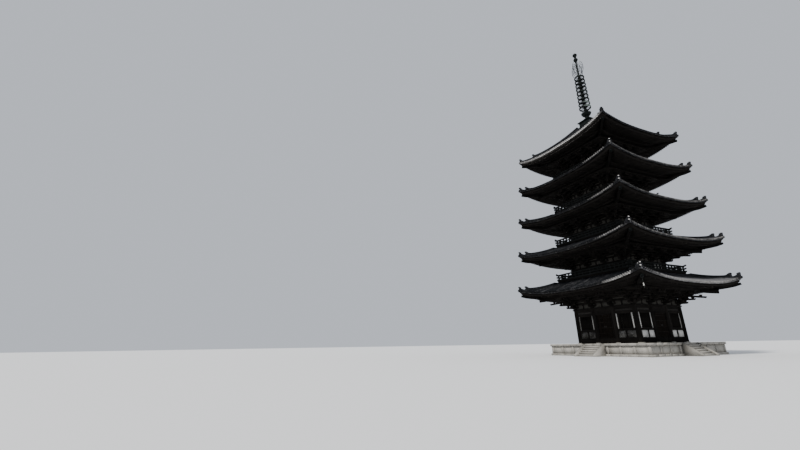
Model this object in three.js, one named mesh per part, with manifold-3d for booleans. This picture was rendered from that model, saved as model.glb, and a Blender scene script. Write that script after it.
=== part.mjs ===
// A five-storey timber pagoda on a stone podium, with tiled roofs, galleries and a tall ringed finial.
// Every size below is in metres of the real tower. Each piece is scaled to a 1:2 model in millimetres.
// +Z is up, the origin is the middle of the podium's underside, and the front (south) side faces -Y.

import * as THREE from "three";
import { mergeVertices } from "three/addons/utils/BufferGeometryUtils.js";
import Module from "manifold-3d";

const wasm = await Module();
wasm.setup();

// The model
const modelScale = 0.5;
const millimetresPerMetre = 1000;
const seatGap = 0.0006;

// Podium and its four flights of steps
const podiumHalf = 7.2;
const podiumTop = 1.5;
const podiumLip = 0.12;
const plinthHeight = 0.26;
const capHeight = 0.28;
const stepCount = 6;
const stepRun = 0.33;
const stairHalfWidth = 1.6;
const cheekWidth = 0.36;
const cheekFoot = { reach: 0.25, height: 0.22 };
const cheekShoulder = { reach: 0.05, height: 0.32 };

// The storeys, lowest first
const storeyCount = 5;
const wallHalfLowest = 4.42;
const wallHalfStep = 0.38;
const eaveHalfLowest = 9.89;
const eaveHalfStep = 0.4425;
const eaveLevelLowest = 8.05;
const storeyRise = 5.47;
const topStoreyLess = 0.4;
const headLevelLowest = 6.0;
const headBelowEave = 1.75;
const deckAboveEave = 2.45;
const deckStep = 0.1;
const finialFoot = 35.3;

// Roofs
const tileBed = 0.3;
const cornerLift = 1.15;
const liftPowerAlong = 2.6;
const liftPowerUp = 2;
const roofSag = 0.8;
const topRoofSag = 0.62;
const flatUnderDeck = 0.22;
const roofCollar = 0.1;
const roofInnerMargin = 0.3;
const topRoofInnerHalf = 0.5;
const roofShares = [0, 0.3, 0.65];
const ridgeHalfWidth = 0.2;
const ridgeHeight = 0.4;
const lowRidgeHeight = 0.2;
const ridgeSink = 0.12;
const ridgeStepInset = 0.9;
const topRidgeStepInset = 1.75;
const ridgeEndInset = 0.1;
const ridgeStart = 0.05;
const stepTileHeight = 0.25;
const endTileHeight = 0.55;
const endTileDepth = 0.12;
const tileRowPitch = 0.3;
const firstRib = 4;
const rowsPerRib = 8;
const ribHeight = 0.11;
const ribHalfWidth = 0.08;
const ribSink = 0.12;
const ribShortest = 0.7;
const ribHipGap = 0.1;
const ribEaveInset = 0.02;

// Eaves: a lower layer of base rafters and an upper layer of flying rafters
const baseTipInset = 2.25;
const baseSlope = 0.38;
const flyingTipInset = 0.35;
const flyingFall = 0.28;
const baseEdge = 0.02;
const eaveInnerMargin = 0.25;
const bearingInset = 0.2;
const boardsUnderTiles = [[0.5, 0.15], [2.4, 0.25]];
const rafterDepth = 0.24;
const hipHalfWidth = 0.14;
const hipDepth = 0.44;
const hipNoseInset = 0.26;
const lowerHipReach = 0.15;

// Brackets
const plateHeight = 0.16;
const plateHalfWidth = 0.3;
const bracketWallHalf = 0.09;
const bracketReach = 1.95;
const bracketStep = 0.65;
const bracketRise = 2.1;
const purlinHalfWidth = 0.13;
const purlinAboveEave = 0.21;
const tailNose = 2.32;
const armHalfWidth = 0.11;
const cornerArmHalfWidth = 0.14;

// Ground storey
const columnRadius = 0.28;
const columnFacets = 8;
const upperColumnRadius = 0.24;
const columnFlat = 0.92;
const columnBevel = 0.38;
const bayLine = 1.48;
const plasterHalf = 0.07;
const railHalf = 0.17;
const sillTop = 2.17;
const waistLow = 3.02;
const waistTop = 3.26;
const lintelLow = 5.17;
const lintelTop = 5.45;
const tieLow = 5.7;
const windowSideInner = 0.34;
const windowSideOuter = 0.38;
const through = 1;

// Upper storeys
const upperSill = 0.3;
const upperLintel = 0.42;
const upperWindowSide = 0.14;
const upperDoorSide = 0.1;
const upperDoorRecess = 0.02;

// Floors
const floorTop = 2.12;
const floorThickness = 0.14;
const floorMargin = 0.2;
const sleeperHalf = 0.12;
const sleeperTop = 2.02;
const sleeperInset = 0.2;
const sleeperLine = 1.2;
const pillarHole = 0.5;
const pillarRadius = 0.42;
const pillarTopRadius = 0.28;

// Doors
const frameHalf = 0.15;
const doorHalfWidth = 1.06;
const doorThickness = 0.09;
const doorFaceInset = 0.035;
const doorClearance = 0.014;
const meetingGap = 0.018;
const pivotInset = 0.03;
const pivotRadius = 0.022;
const pivotFacets = 6;
const pivotLength = 0.06;
const pivotPlay = 0.0016;
const pivotOverlap = 0.02;
const socketRadius = (pivotRadius + pivotPlay) / Math.cos(Math.PI / pivotFacets);

// Galleries
const deckReach = 1.68;
const deckThickness = 0.12;
const railReach = 1.95;
const railLine = 1.52;
const railTop = 0.8;
const railHeight = 0.12;
const railHalfWidth = 0.065;
const galleryBaseOut = 1.3;
const galleryBaseWidth = 0.98;

// Finial
const basinHalf = 0.95;
const basinHeight = 0.95;
const basinFoot = { reach: 0.08, height: 0.15 };
const basinRim = { reach: 0.17, height: 0.18 };
const ringCount = 9;
const ringLow = 38.83;
const ringHigh = 44.83;
const ringRadiusLow = 0.92;
const ringRadiusHigh = 0.8;
const ringHalfHeight = 0.12;
const ringThickness = 0.1;
const ringFacets = 8;
const spokeHalfWidth = 0.04;
const spokeHalfHeight = 0.06;
const shaftRadius = 0.22;
const shaftTopRadius = 0.19;
const flameLow = 45.3;
const flameHigh = 48.05;
const flameReach = 1.15;
const flameHalfThickness = 0.03;
const crownShaftRadius = 0.17;
const crownShaftTopRadius = 0.09;
const crownShaftTop = 48.8;
const finialTop = 50.1;

const sides = ["south", "east", "north", "west"];

const paint = (color, roughness, metalness = 0) =>
  new THREE.MeshStandardMaterial({ color, roughness, metalness });
const materials = {
  stone: paint(0x8c877d, 0.9),
  timber: paint(0x2c2520, 0.85),
  plaster: paint(0xb9b4a8, 0.9),
  tile: paint(0x4a4b4e, 0.65),
  door: paint(0x3a2c22, 0.8),
  bronze: paint(0x3b4a45, 0.55, 0.7),
};

// Solids: three.js geometry in and out, joined and cut as closed bodies

function solidOf(geometry) {
  const bare = geometry.index ? geometry.toNonIndexed() : geometry.clone();
  for (const name of Object.keys(bare.attributes))
    if (name !== "position") bare.deleteAttribute(name);
  const merged = mergeVertices(bare, 1e-5);
  return new wasm.Manifold(
    new wasm.Mesh({
      numProp: 3,
      vertProperties: new Float32Array(merged.attributes.position.array),
      triVerts: new Uint32Array(merged.index.array),
    }),
  );
}

function geometryOf(solid) {
  const mesh = solid.getMesh();
  const points = new Float32Array(mesh.numVert * 3);
  for (let i = 0; i < mesh.numVert; i++)
    points.set(mesh.vertProperties.subarray(i * mesh.numProp, i * mesh.numProp + 3), i * 3);
  return new THREE.BufferGeometry()
    .setAttribute("position", new THREE.BufferAttribute(points, 3))
    .setIndex(new THREE.BufferAttribute(new Uint32Array(mesh.triVerts), 1));
}

const fuse = (geometries) =>
  geometryOf(geometries.map(solidOf).reduce((whole, piece) => whole.add(piece)));

const cut = (body, tools) =>
  geometryOf(tools.map(solidOf).reduce((whole, tool) => whole.subtract(tool), solidOf(body)));

function box([x0, x1], [y0, y1], [z0, z1]) {
  return new THREE.BoxGeometry(x1 - x0, y1 - y0, z1 - z0).translate(
    (x0 + x1) / 2,
    (y0 + y1) / 2,
    (z0 + z1) / 2,
  );
}

function post(x, y, [z0, z1], radius, facets, topRadius = radius) {
  return new THREE.CylinderGeometry(topRadius, radius, z1 - z0, facets)
    .rotateX(Math.PI / 2)
    .translate(x, y, (z0 + z1) / 2);
}

// A flat outline in the plane square to a side: points are [distance out from the axis, height].
// The plate stands on the south side, centred on x.
function plate(points, x, halfWidth) {
  const outline = new THREE.Shape(points.map(([out, up]) => new THREE.Vector2(out, up)));
  const across = 2 * halfWidth;
  return new THREE.ExtrudeGeometry(outline, { depth: across, bevelEnabled: false })
    .rotateX(Math.PI / 2)
    .rotateZ(-Math.PI / 2)
    .translate(x + halfWidth, 0, 0);
}

const quarterTurn = (geometry, side) => geometry.clone().rotateZ((side * Math.PI) / 2);

const allRound = (geometries) =>
  sides.flatMap((_, side) => geometries.map((geometry) => quarterTurn(geometry, side)));

// A square ring: a closed loop of [half width, height at t], carried along each side with t from -1 to 1.
// The loop runs anticlockwise with the half width to the right and the height up.
function squareRing(loop, stations = [-1]) {
  const points = [];
  const faces = [];
  sides.forEach((_, side) => {
    const turn = (side * Math.PI) / 2;
    for (const t of stations)
      for (const [half, height] of loop) {
        const z = typeof height === "function" ? height(t) : height;
        const place = new THREE.Vector3(t * half, -half, z);
        points.push(...place.applyAxisAngle(new THREE.Vector3(0, 0, 1), turn).toArray());
      }
  });
  const around = sides.length * stations.length;
  const along = loop.length;
  for (let j = 0; j < around; j++)
    for (let k = 0; k < along; k++) {
      const here = j * along + k;
      const next = ((j + 1) % around) * along + k;
      const hereUp = j * along + ((k + 1) % along);
      const nextUp = ((j + 1) % around) * along + ((k + 1) % along);
      faces.push(here, next, nextUp, here, nextUp, hereUp);
    }
  return new THREE.BufferGeometry()
    .setAttribute("position", new THREE.Float32BufferAttribute(points, 3))
    .setIndex(faces);
}

const squareTube = (inner, outer, [z0, z1]) =>
  squareRing([
    [inner, z0],
    [outer, z0],
    [outer, z1],
    [inner, z1],
  ]);

// Stations along a side, closer together near the corners, where the eaves turn up
const eaveStations = [-1, -0.8, -0.5, 0, 0.5, 0.8];

// One storey's levels and widths, and the height of its tiles at a half width and a place along the side
function storeyOf(index) {
  const ground = index === 0;
  const top = index === storeyCount - 1;
  const wallHalf = wallHalfLowest - wallHalfStep * index;
  const eaveHalf = eaveHalfLowest - eaveHalfStep * index;
  const eaveLevel = eaveLevelLowest + storeyRise * index - (top ? topStoreyLess : 0);
  const headLevel = ground ? headLevelLowest : eaveLevel - headBelowEave;
  const deckLevel = eaveLevel + deckAboveEave - deckStep * index;
  const nextWallHalf = wallHalf - wallHalfStep;
  const seatLevel = top ? finialFoot : deckLevel - flatUnderDeck;
  const seatHalf = top ? basinHalf + roofCollar : nextWallHalf + galleryBaseOut;
  const innerHalf = top ? topRoofInnerHalf : nextWallHalf - roofInnerMargin;
  const edgeLevel = eaveLevel + tileBed;
  const sag = top ? topRoofSag : roofSag;
  const share = (half) => Math.min(1, (eaveHalf - half) / (eaveHalf - seatHalf));
  const lift = (half, t) =>
    cornerLift * (1 - share(half)) ** liftPowerUp * Math.abs(t) ** liftPowerAlong;
  const tileLevel = (half, t) => {
    const s = share(half);
    return edgeLevel + (seatLevel - edgeLevel) * (sag * s + (1 - sag) * s * s) + lift(half, t);
  };
  const purlinTop = eaveLevel + purlinAboveEave;
  const purlinEdge = wallHalf + bracketReach + purlinHalfWidth;
  const rafterLevel = (half) => purlinTop + baseSlope * (purlinEdge - half);
  return {
    index, ground, top, purlinTop, rafterLevel, wallHalf, eaveHalf, eaveLevel, headLevel, deckLevel,
    seatLevel, seatHalf, innerHalf, nextWallHalf, lift, tileLevel,
    plateTop: headLevel + plateHeight,
    wallFoot: ground ? podiumTop : undefined,
  };
}

const storeys = Array.from({ length: storeyCount }, (_, index) => storeyOf(index));
storeys.slice(1).forEach((storey, below) => {
  storey.wallFoot = storeys[below].seatLevel;
  storey.floorLevel = storeys[below].deckLevel;
});

const tower = new THREE.Group();
function add(name, geometry, material) {
  const size = modelScale * millimetresPerMetre;
  const mesh = new THREE.Mesh(geometry.clone().scale(size, size, size), materials[material]);
  mesh.name = name;
  tower.add(mesh);
}

// Podium: plinth course, wall and cap stones, as one mass of masonry

const slab = (half, z) => box([-half, half], [-half, half], z);

add(
  "podium",
  fuse([
    slab(podiumHalf + podiumLip, [0, plinthHeight]),
    slab(podiumHalf, [0, podiumTop]),
    slab(podiumHalf + podiumLip, [podiumTop - capHeight, podiumTop]),
  ]),
  "stone",
);

function stairGeometry() {
  const rise = podiumTop / stepCount;
  const back = podiumHalf + podiumLip + seatGap;
  const front = back + (stepCount - 1) * stepRun;
  const outline = [[back, 0], [front, 0]];
  for (let step = 1; step < stepCount; step++) {
    const nose = front - (step - 1) * stepRun;
    outline.push([nose, step * rise], [nose - stepRun, step * rise]);
  }
  const cheek = [
    [back, 0],
    [front + cheekFoot.reach, 0],
    [front + cheekFoot.reach, cheekFoot.height],
    [front + cheekShoulder.reach, cheekShoulder.height],
    [back, podiumTop],
  ];
  const cheekAt = stairHalfWidth - cheekWidth / 2;
  return fuse([
    plate(outline, 0, stairHalfWidth - cheekWidth / 2),
    plate(cheek, -cheekAt, cheekWidth / 2),
    plate(cheek, cheekAt, cheekWidth / 2),
  ]);
}

const stair = stairGeometry();
sides.forEach((side, turn) => add(`${side}_stair`, quarterTurn(stair, turn), "stone"));

// Central pillar, which stands free inside the tower and carries the finial

add(
  "central_pillar",
  post(0, 0, [podiumTop + seatGap, finialFoot - seatGap], pillarRadius, columnFacets, pillarTopRadius),
  "timber",
);

// Ground floor: boards on four sleepers, open round the pillar

function groundFloor() {
  const half = wallHalfLowest - railHalf - floorMargin;
  const outerLine = half - sleeperInset;
  const sleeper = (y) =>
    box([-half, half], [y - sleeperHalf, y + sleeperHalf], [podiumTop + seatGap, sleeperTop]);
  return fuse([
    squareTube(pillarHole, half, [floorTop - floorThickness, floorTop]),
    ...[-outerLine, -sleeperLine, sleeperLine, outerLine].map(sleeper),
  ]);
}
add("ground_floor", groundFloor(), "timber");

// Ground storey walls: columns, rails and plaster, with a window in each outer bay

function bayWall(innerEnd, outerEnd, columns, besides) {
  const face = -wallHalfLowest;
  const low = podiumTop + seatGap;
  const high = headLevelLowest;
  const span = [innerEnd, outerEnd];
  const rail = (z) => box(span, [face - railHalf, face + railHalf], z);
  const open = [
    bayLine + columnRadius + windowSideInner,
    wallHalfLowest - columnRadius - windowSideOuter,
  ];
  const whole = fuse([
    box(span, [face - plasterHalf, face + plasterHalf], [low, high]),
    rail([low, sillTop]),
    rail([waistLow, waistTop]),
    rail([lintelLow, lintelTop]),
    rail([tieLow, high]),
    ...columns.map((x) => post(x, face, [low, high], columnRadius, columnFacets)),
  ]);
  return cut(whole, [box(open, [face - through, face + through], [waistTop, lintelLow]), ...besides]);
}

// The space that a column of a neighbouring wall takes, with a gap to it
const columnSpace = (x) => {
  const radius = columnRadius + seatGap / columnFlat;
  return post(x, -wallHalfLowest, [0, headLevelLowest + through], radius, columnFacets);
};

const wallLeft = bayWall(bayLine, wallHalfLowest, [bayLine, wallHalfLowest], []);
const wallRight = bayWall(bayLine, wallHalfLowest, [bayLine], [columnSpace(wallHalfLowest)]);

// A left wall, seen from outside, mirrors the right one and holds the corner column.
function mirrored(geometry) {
  const turned = geometry.clone().scale(-1, 1, 1);
  const order = turned.index.array;
  for (let i = 0; i < order.length; i += 3) [order[i], order[i + 1]] = [order[i + 1], order[i]];
  return turned;
}

// A doorway: sill, jambs and head in one frame that fits between the two middle columns
function doorwayGeometry() {
  const face = -wallHalfLowest;
  const low = podiumTop + seatGap;
  const depth = [face - frameHalf, face + frameHalf];
  const pivotX = doorHalfWidth - doorClearance - pivotInset;
  const pivotY = face - frameHalf + doorFaceInset;
  const sockets = [-pivotX, pivotX].flatMap((x) => [
    post(x, pivotY, [sillTop - pivotLength, sillTop + pivotOverlap], socketRadius, pivotFacets),
    post(x, pivotY, [lintelLow - pivotOverlap, lintelLow + pivotLength], socketRadius, pivotFacets),
  ]);
  const block = box([-bayLine, bayLine], depth, [low, headLevelLowest]);
  const clear = [face - through, face + through];
  const opening = box([-doorHalfWidth, doorHalfWidth], clear, [sillTop, lintelLow]);
  return cut(block, [opening, ...sockets, columnSpace(-bayLine), columnSpace(bayLine)]);
}

// A door leaf with its pivot pins; hand is -1 for the leaf hung on the left, seen from outside
function doorLeaf(hand) {
  const face = -wallHalfLowest;
  const outer = face - frameHalf + doorFaceInset;
  const edge = doorHalfWidth - doorClearance;
  const reach = [meetingGap / 2, edge];
  const across = hand < 0 ? [-reach[1], -reach[0]] : reach;
  const low = sillTop + doorClearance;
  const high = lintelLow - doorClearance;
  const pivotX = hand * (edge - pivotInset);
  const pin = (z) => post(pivotX, outer, z, pivotRadius, pivotFacets);
  return fuse([
    box(across, [outer, outer + doorThickness], [low, high]),
    pin([sillTop - pivotLength + seatGap, low + pivotOverlap]),
    pin([high - pivotOverlap, lintelLow + pivotLength - seatGap]),
  ]);
}

const doorway = doorwayGeometry();
const leaves = { left: doorLeaf(-1), right: doorLeaf(1) };
sides.forEach((side, turn) => {
  add(`${side}_wall_left`, quarterTurn(mirrored(wallLeft), turn), "plaster");
  add(`${side}_wall_right`, quarterTurn(wallRight, turn), "plaster");
  add(`${side}_doorway`, quarterTurn(doorway, turn), "timber");
  add(`${side}_door_left`, quarterTurn(leaves.left, turn), "door");
  add(`${side}_door_right`, quarterTurn(leaves.right, turn), "door");
});

// Upper storey walls: plaster between columns that stand proud, cut from one plan, with a floor inside.
// Each side has a window in both outer bays and a closed door, recessed, in the middle bay.

// Plan points of one side, from its left corner column to its right one, as [along, out from the axis]
function wallPlan(wallHalf, radius) {
  const face = wallHalf + plasterHalf;
  const [flat, bevel] = [columnFlat * radius, columnBevel * radius];
  const bump = (x) => [
    [x - flat, face],
    [x - bevel, wallHalf + flat],
    [x + bevel, wallHalf + flat],
    [x + flat, face],
  ];
  const corner = bump(wallHalf).slice(0, 3);
  const far = corner.map(([along, out]) => [-along, out]).reverse();
  return [...far, ...bump(-wallHalf / 3), ...bump(wallHalf / 3), ...corner];
}

function upperWalls({ wallHalf, wallFoot, headLevel, floorLevel }) {
  const radius = upperColumnRadius;
  const bay = wallHalf / 3;
  const low = wallFoot + seatGap;
  const openZ = [floorLevel + upperSill, headLevel - upperLintel];
  const onSide = (side) => ([along, out]) => {
    const [x, y] = [along, -out];
    return new THREE.Vector2(...[[x, y], [-y, x], [-x, -y], [y, -x]][side]);
  };
  const plan = new THREE.Shape(
    sides.flatMap((_, side) => wallPlan(wallHalf, radius).map(onSide(side))),
  );
  const inner = wallHalf - plasterHalf;
  const corners = [[-1, -1], [-1, 1], [1, 1], [1, -1]];
  plan.holes.push(new THREE.Path(corners.map(([x, y]) => new THREE.Vector2(x * inner, y * inner))));
  const ring = new THREE.ExtrudeGeometry(plan, { depth: headLevel - low, bevelEnabled: false });
  const clear = [-wallHalf - through, -wallHalf + through];
  const windows = [-1, 1].map((hand) => {
    const middle = (hand * (wallHalf + bay)) / 2;
    const half = (wallHalf - bay) / 2 - radius - upperWindowSide;
    return box([middle - half, middle + half], clear, openZ);
  });
  const doorHalf = bay - radius - upperDoorSide;
  const door = box([-doorHalf, doorHalf], [-wallHalf - through, -wallHalf - upperDoorRecess], openZ);
  return cut(
    fuse([
      ring.translate(0, 0, low),
      squareTube(pillarHole, wallHalf, [floorLevel - floorThickness, floorLevel]),
    ]),
    allRound([...windows, door]),
  );
}

// Gallery: a deck on a base ring over the roof below, with a rail whose ends cross at the corners

function gallery({ wallHalf, wallFoot, floorLevel }) {
  const deckHalf = wallHalf + deckReach;
  const railHalfLength = wallHalf + railReach;
  const line = wallHalf + railLine;
  const inner = wallHalf + columnRadius;
  const bar = (length, z) =>
    box([-length, length], [-line - railHalfWidth, -line + railHalfWidth], z);
  const posts = [-line, -line / 3, line / 3].map((x) =>
    box(
      [x - railHalfWidth, x + railHalfWidth],
      [-line - railHalfWidth, -line + railHalfWidth],
      [floorLevel, floorLevel + railTop],
    ),
  );
  return fuse([
    squareTube(inner, deckHalf, [floorLevel - deckThickness, floorLevel]),
    squareTube(inner, inner + galleryBaseWidth, [wallFoot + seatGap, floorLevel - deckThickness]),
    ...allRound([
      bar(railHalfLength, [floorLevel + railTop, floorLevel + railTop + railHeight]),
      ...posts,
    ]),
  ]);
}

// Brackets: a plate on the wall, three steps of arms at each column, tail rafters and the eave purlin

function brackets({ wallHalf, headLevel, plateTop, purlinTop, rafterLevel }) {
  const stretch = (purlinTop - plateTop) / bracketRise;
  const at = (share) => plateTop + share * stretch;
  const bay = wallHalf / 3;
  const purlinHalf = wallHalf + bracketReach;
  const profile = (grow) => {
    const out = (distance) => (wallHalf + distance) * grow;
    return [
      [out(0), at(0.05)],
      [out(0.2), at(0.05)],
      [out(bracketStep + 0.14), at(0.8)],
      [out(tailNose), at(0.86)],
      [out(tailNose + 0.05), at(1.1)],
      [out(bracketReach + purlinHalfWidth), at(1.8)],
      [out(bracketReach - purlinHalfWidth), at(1.8)],
      [out(0), at(2.2)],
    ];
  };
  const square = profile(1);
  const arms = [-bay, bay].map((x) => plate(square, x, armHalfWidth));
  const corner = plate(profile(Math.SQRT2), 0, cornerArmHalfWidth).rotateZ(Math.PI / 4);
  const ring = (half, halfWidth, z) => squareTube(half - halfWidth, half + halfWidth, z);
  const wallTop = rafterLevel(wallHalf + bracketWallHalf);
  return fuse([
    ring(wallHalf, bracketWallHalf, [headLevel + seatGap, wallTop - seatGap]),
    ring(wallHalf, plateHalfWidth, [headLevel + seatGap, plateTop]),
    ring(purlinHalf, purlinHalfWidth, [at(1.8), purlinTop - seatGap]),
    ...allRound([...arms, corner]),
  ]);
}

// Eaves: base rafters, flying rafters and edge boards as stepped layers under the tiles, with hip rafters

function eavesLoop(storey) {
  const { wallHalf, eaveHalf, eaveLevel, rafterLevel, lift, tileLevel } = storey;
  const baseTip = eaveHalf - baseTipInset;
  const flyingTip = eaveHalf - flyingTipInset;
  const raised = (half, level) => (t) => level + lift(half, t);
  const underTiles = (half, gap = seatGap) => [half, (t) => tileLevel(half, t) - tileBed - gap];
  const at = (half, level) => [half, raised(half, level)];
  const inner = wallHalf - eaveInnerMargin;
  const bearing = eaveHalf - bearingInset;
  return [
    at(inner, rafterLevel(inner)),
    at(baseTip, rafterLevel(baseTip)),
    at(baseTip, eaveLevel - baseEdge),
    at(flyingTip, eaveLevel - baseEdge - flyingFall),
    underTiles(bearing),
    ...boardsUnderTiles.map(([inset, gap]) => underTiles(bearing - inset, gap)),
    at(inner, rafterLevel(inner) + rafterDepth),
  ];
}

function eaves(storey) {
  const { wallHalf, eaveHalf, eaveLevel, rafterLevel, lift } = storey;
  const baseTip = eaveHalf - baseTipInset;
  const nose = eaveHalf - hipNoseInset;
  const lowerNose = baseTip + lowerHipReach;
  const flyingLevel = eaveLevel - baseEdge;
  const diagonal = (half, level) => [half * Math.SQRT2, level + lift(half, 1)];
  const innerHalf = wallHalf + bracketReach + 0.25;
  const hip = [
    diagonal(innerHalf, rafterLevel(innerHalf) - hipDepth * 0.4),
    diagonal(lowerNose, rafterLevel(baseTip) - hipDepth),
    diagonal(lowerNose, flyingLevel - hipDepth * 0.6),
    diagonal(nose, flyingLevel - flyingFall - hipDepth),
    diagonal(nose, eaveLevel - 0.1),
    diagonal(innerHalf, rafterLevel(innerHalf) + 0.1),
  ];
  const hips = allRound([plate(hip, 0, hipHalfWidth).rotateZ(Math.PI / 4)]);
  return fuse([squareRing(eavesLoop(storey), eaveStations), ...hips]);
}

// Roof: a bed of tiles that sweeps up at the corners, with ribs of cover tiles running down each slope,
// and a stepped ridge with end tiles on each hip

// The half widths where the tile bed changes its slope
const bendsOf = ({ seatHalf, eaveHalf }) =>
  roofShares.map((share) => seatHalf + share * (eaveHalf - seatHalf));

// The ribs of the south slope stand on every eighth row of tiles, and each ends at the hip's ridge.
function tileRibs(storey, startHalf) {
  const { eaveHalf, tileLevel } = storey;
  const rows = 2 * Math.round(eaveHalf / tileRowPitch);
  const pitch = (2 * eaveHalf) / rows;
  const tip = eaveHalf - ribEaveInset;
  const ribs = [];
  for (let row = firstRib; row < rows / 2; row += rowsPerRib)
    for (const along of [-(row + 0.5) * pitch, (row + 0.5) * pitch]) {
      const head = Math.max(startHalf, Math.abs(along) + ribHalfWidth + ribHipGap);
      if (tip - head < ribShortest) continue;
      const bends = bendsOf(storey).filter((half) => half > head + ribHipGap);
      const line = [head, ...bends, tip];
      const over = (half, height) => [half, tileLevel(half, along / half) + height];
      const rib = [
        ...line.map((half) => over(half, -ribSink)),
        ...line.reverse().map((half) => over(half, ribHeight)),
      ];
      ribs.push(plate(rib, along, ribHalfWidth));
    }
  return ribs;
}

function roof(storey) {
  const { eaveHalf, seatHalf, innerHalf, nextWallHalf, seatLevel, tileLevel, top } = storey;
  const inside = bendsOf(storey);
  const bearing = eaveHalf - bearingInset;
  const upper = [...inside, eaveHalf].map((half) => [half, (t) => tileLevel(half, t)]);
  const lower = [...inside, bearing, eaveHalf].map(
    (half) => [half, (t) => tileLevel(half, t) - tileBed],
  );
  const shell = squareRing(
    [[innerHalf, seatLevel - tileBed], ...lower, ...upper.reverse(), [innerHalf, seatLevel]],
    eaveStations,
  );
  const startHalf = (top ? seatHalf : nextWallHalf + deckReach) + ridgeStart;
  const stepHalf = eaveHalf - (top ? topRidgeStepInset : ridgeStepInset);
  const endHalf = eaveHalf - ridgeEndInset;
  const over = (half, height) => [half * Math.SQRT2, tileLevel(half, 1) + height];
  const between = (from, to, count) =>
    Array.from({ length: count + 1 }, (_, i) => from + ((to - from) * i) / count);
  const ridgeLine = between(startHalf, stepHalf, 2);
  const ridge = [
    ...[...ridgeLine, endHalf].map((half) => over(half, -ridgeSink)),
    over(endHalf, endTileHeight),
    over(endHalf - endTileDepth, endTileHeight),
    over(endHalf - endTileDepth, lowRidgeHeight),
    over(stepHalf, lowRidgeHeight),
    over(stepHalf, ridgeHeight + stepTileHeight),
    over(stepHalf - endTileDepth, ridgeHeight + stepTileHeight),
    over(stepHalf - endTileDepth, ridgeHeight),
    ...ridgeLine.slice(0, -1).reverse().map((half) => over(half, ridgeHeight)),
  ];
  const hipRidge = plate(ridge, 0, ridgeHalfWidth).rotateZ(Math.PI / 4);
  return fuse([shell, ...allRound([hipRidge, ...tileRibs(storey, startHalf)])]);
}

storeys.forEach((storey) => {
  const name = `storey${storey.index + 1}`;
  if (!storey.ground) {
    add(`${name}_walls`, upperWalls(storey), "plaster");
    add(`${name}_gallery`, gallery(storey), "timber");
  }
  add(`${name}_brackets`, brackets(storey), "timber");
  add(`${name}_eaves`, eaves(storey), "timber");
  add(`${name}_roof`, roof(storey), "tile");
});

// Finial: basin, bowl and lotus, shaft with nine rings, then the openwork flames and the two jewels

const turned = (points, facets) =>
  new THREE.LatheGeometry(
    points.map(([radius, level]) => new THREE.Vector2(radius, level)),
    facets,
  ).rotateX(Math.PI / 2);

const basinTop = finialFoot + basinHeight;
add(
  "finial_basin",
  fuse([
    slab(basinHalf + basinFoot.reach, [finialFoot + seatGap, finialFoot + basinFoot.height]),
    slab(basinHalf, [finialFoot + seatGap, basinTop]),
    slab(basinHalf + basinRim.reach, [basinTop - basinRim.height, basinTop]),
  ]),
  "bronze",
);

const bowlFoot = basinTop + seatGap;
const lotusTop = basinTop + 1.6;
add(
  "finial_bowl",
  turned(
    [
      [0, bowlFoot],
      [0.76, bowlFoot],
      [0.7, basinTop + 0.28],
      [0.48, basinTop + 0.52],
      [0.3, basinTop + 0.62],
      [0.3, basinTop + 1.0],
      [0.58, basinTop + 1.26],
      [0.8, lotusTop],
      [0.3, lotusTop - 0.05],
      [0, lotusTop - 0.05],
    ],
    16,
  ),
  "bronze",
);

function ringStack() {
  const shaftFoot = lotusTop - 0.05 + seatGap;
  const shaft = post(0, 0, [shaftFoot, flameLow], shaftRadius, 6, shaftTopRadius);
  const rings = Array.from({ length: ringCount }, (_, i) => {
    const share = i / (ringCount - 1);
    const radius = ringRadiusLow + (ringRadiusHigh - ringRadiusLow) * share;
    const level = ringLow + (ringHigh - ringLow) * share;
    const inner = radius - ringThickness;
    const [low, high] = [level - ringHalfHeight, level + ringHalfHeight];
    const hoop = turned(
      [[inner, low], [radius, low], [radius, high], [inner, high], [inner, low]],
      ringFacets,
    );
    const reach = radius - ringThickness / 2;
    const spoke = box(
      [-reach, reach],
      [-spokeHalfWidth, spokeHalfWidth],
      [level - spokeHalfHeight, level + spokeHalfHeight],
    );
    return [hoop, quarterTurn(spoke, i)];
  });
  return fuse([shaft, ...rings.flat()]);
}
add("finial_rings", ringStack(), "bronze");

function flameOutline() {
  const tall = flameHigh - flameLow;
  const at = (out, up) => [out * flameReach, flameLow + up * tall];
  return [
    at(0, 0.02), at(0.42, 0), at(0.62, 0.1), at(0.9, 0.22), at(1, 0.42), at(0.96, 0.62),
    at(0.8, 0.8), at(0.52, 1), at(0.5, 0.84), at(0.3, 0.92), at(0.16, 0.8), at(0, 0.8),
  ];
}

function crown() {
  const shaft = post(0, 0, [flameLow + seatGap, crownShaftTop], crownShaftRadius, 8, crownShaftTopRadius);
  const hole = [
    [0.3, 0.14], [0.68, 0.3], [0.74, 0.48], [0.66, 0.66], [0.36, 0.74], [0.3, 0.5],
  ].map(([out, up]) => [out * flameReach, flameLow + up * (flameHigh - flameLow)]);
  const blank = plate(flameOutline(), 0, flameHalfThickness);
  const fin = cut(blank, [plate(hole, 0, 2 * flameHalfThickness)]).translate(0, 0, seatGap);
  const low = flameHigh + 0.1;
  const jewels = turned(
    [
      [0, low], [0.11, low], [0.13, low + 0.2], [0.29, low + 0.32], [0.36, low + 0.52], [0.29, low + 0.72],
      [0.12, low + 0.86], [0.1, low + 1.22], [0.28, low + 1.36], [0.35, low + 1.56], [0.27, low + 1.78],
      [0, finialTop],
    ],
    8,
  );
  return fuse([shaft, ...allRound([fin]), jewels]);
}
add("finial_crown", crown(), "bronze");

export default tower;
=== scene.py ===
"""A five-storey timber pagoda as a 1:2 model: podium, walls, galleries, brackets, tiled roofs and finial.

All shapes are worked out in metres of the real tower, and make_piece brings their points to the 1:2 model.
The south side faces -Y. A shape is made for the south side or the south-east corner and turned to the others.
"""

import math
from dataclasses import dataclass, replace

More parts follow.
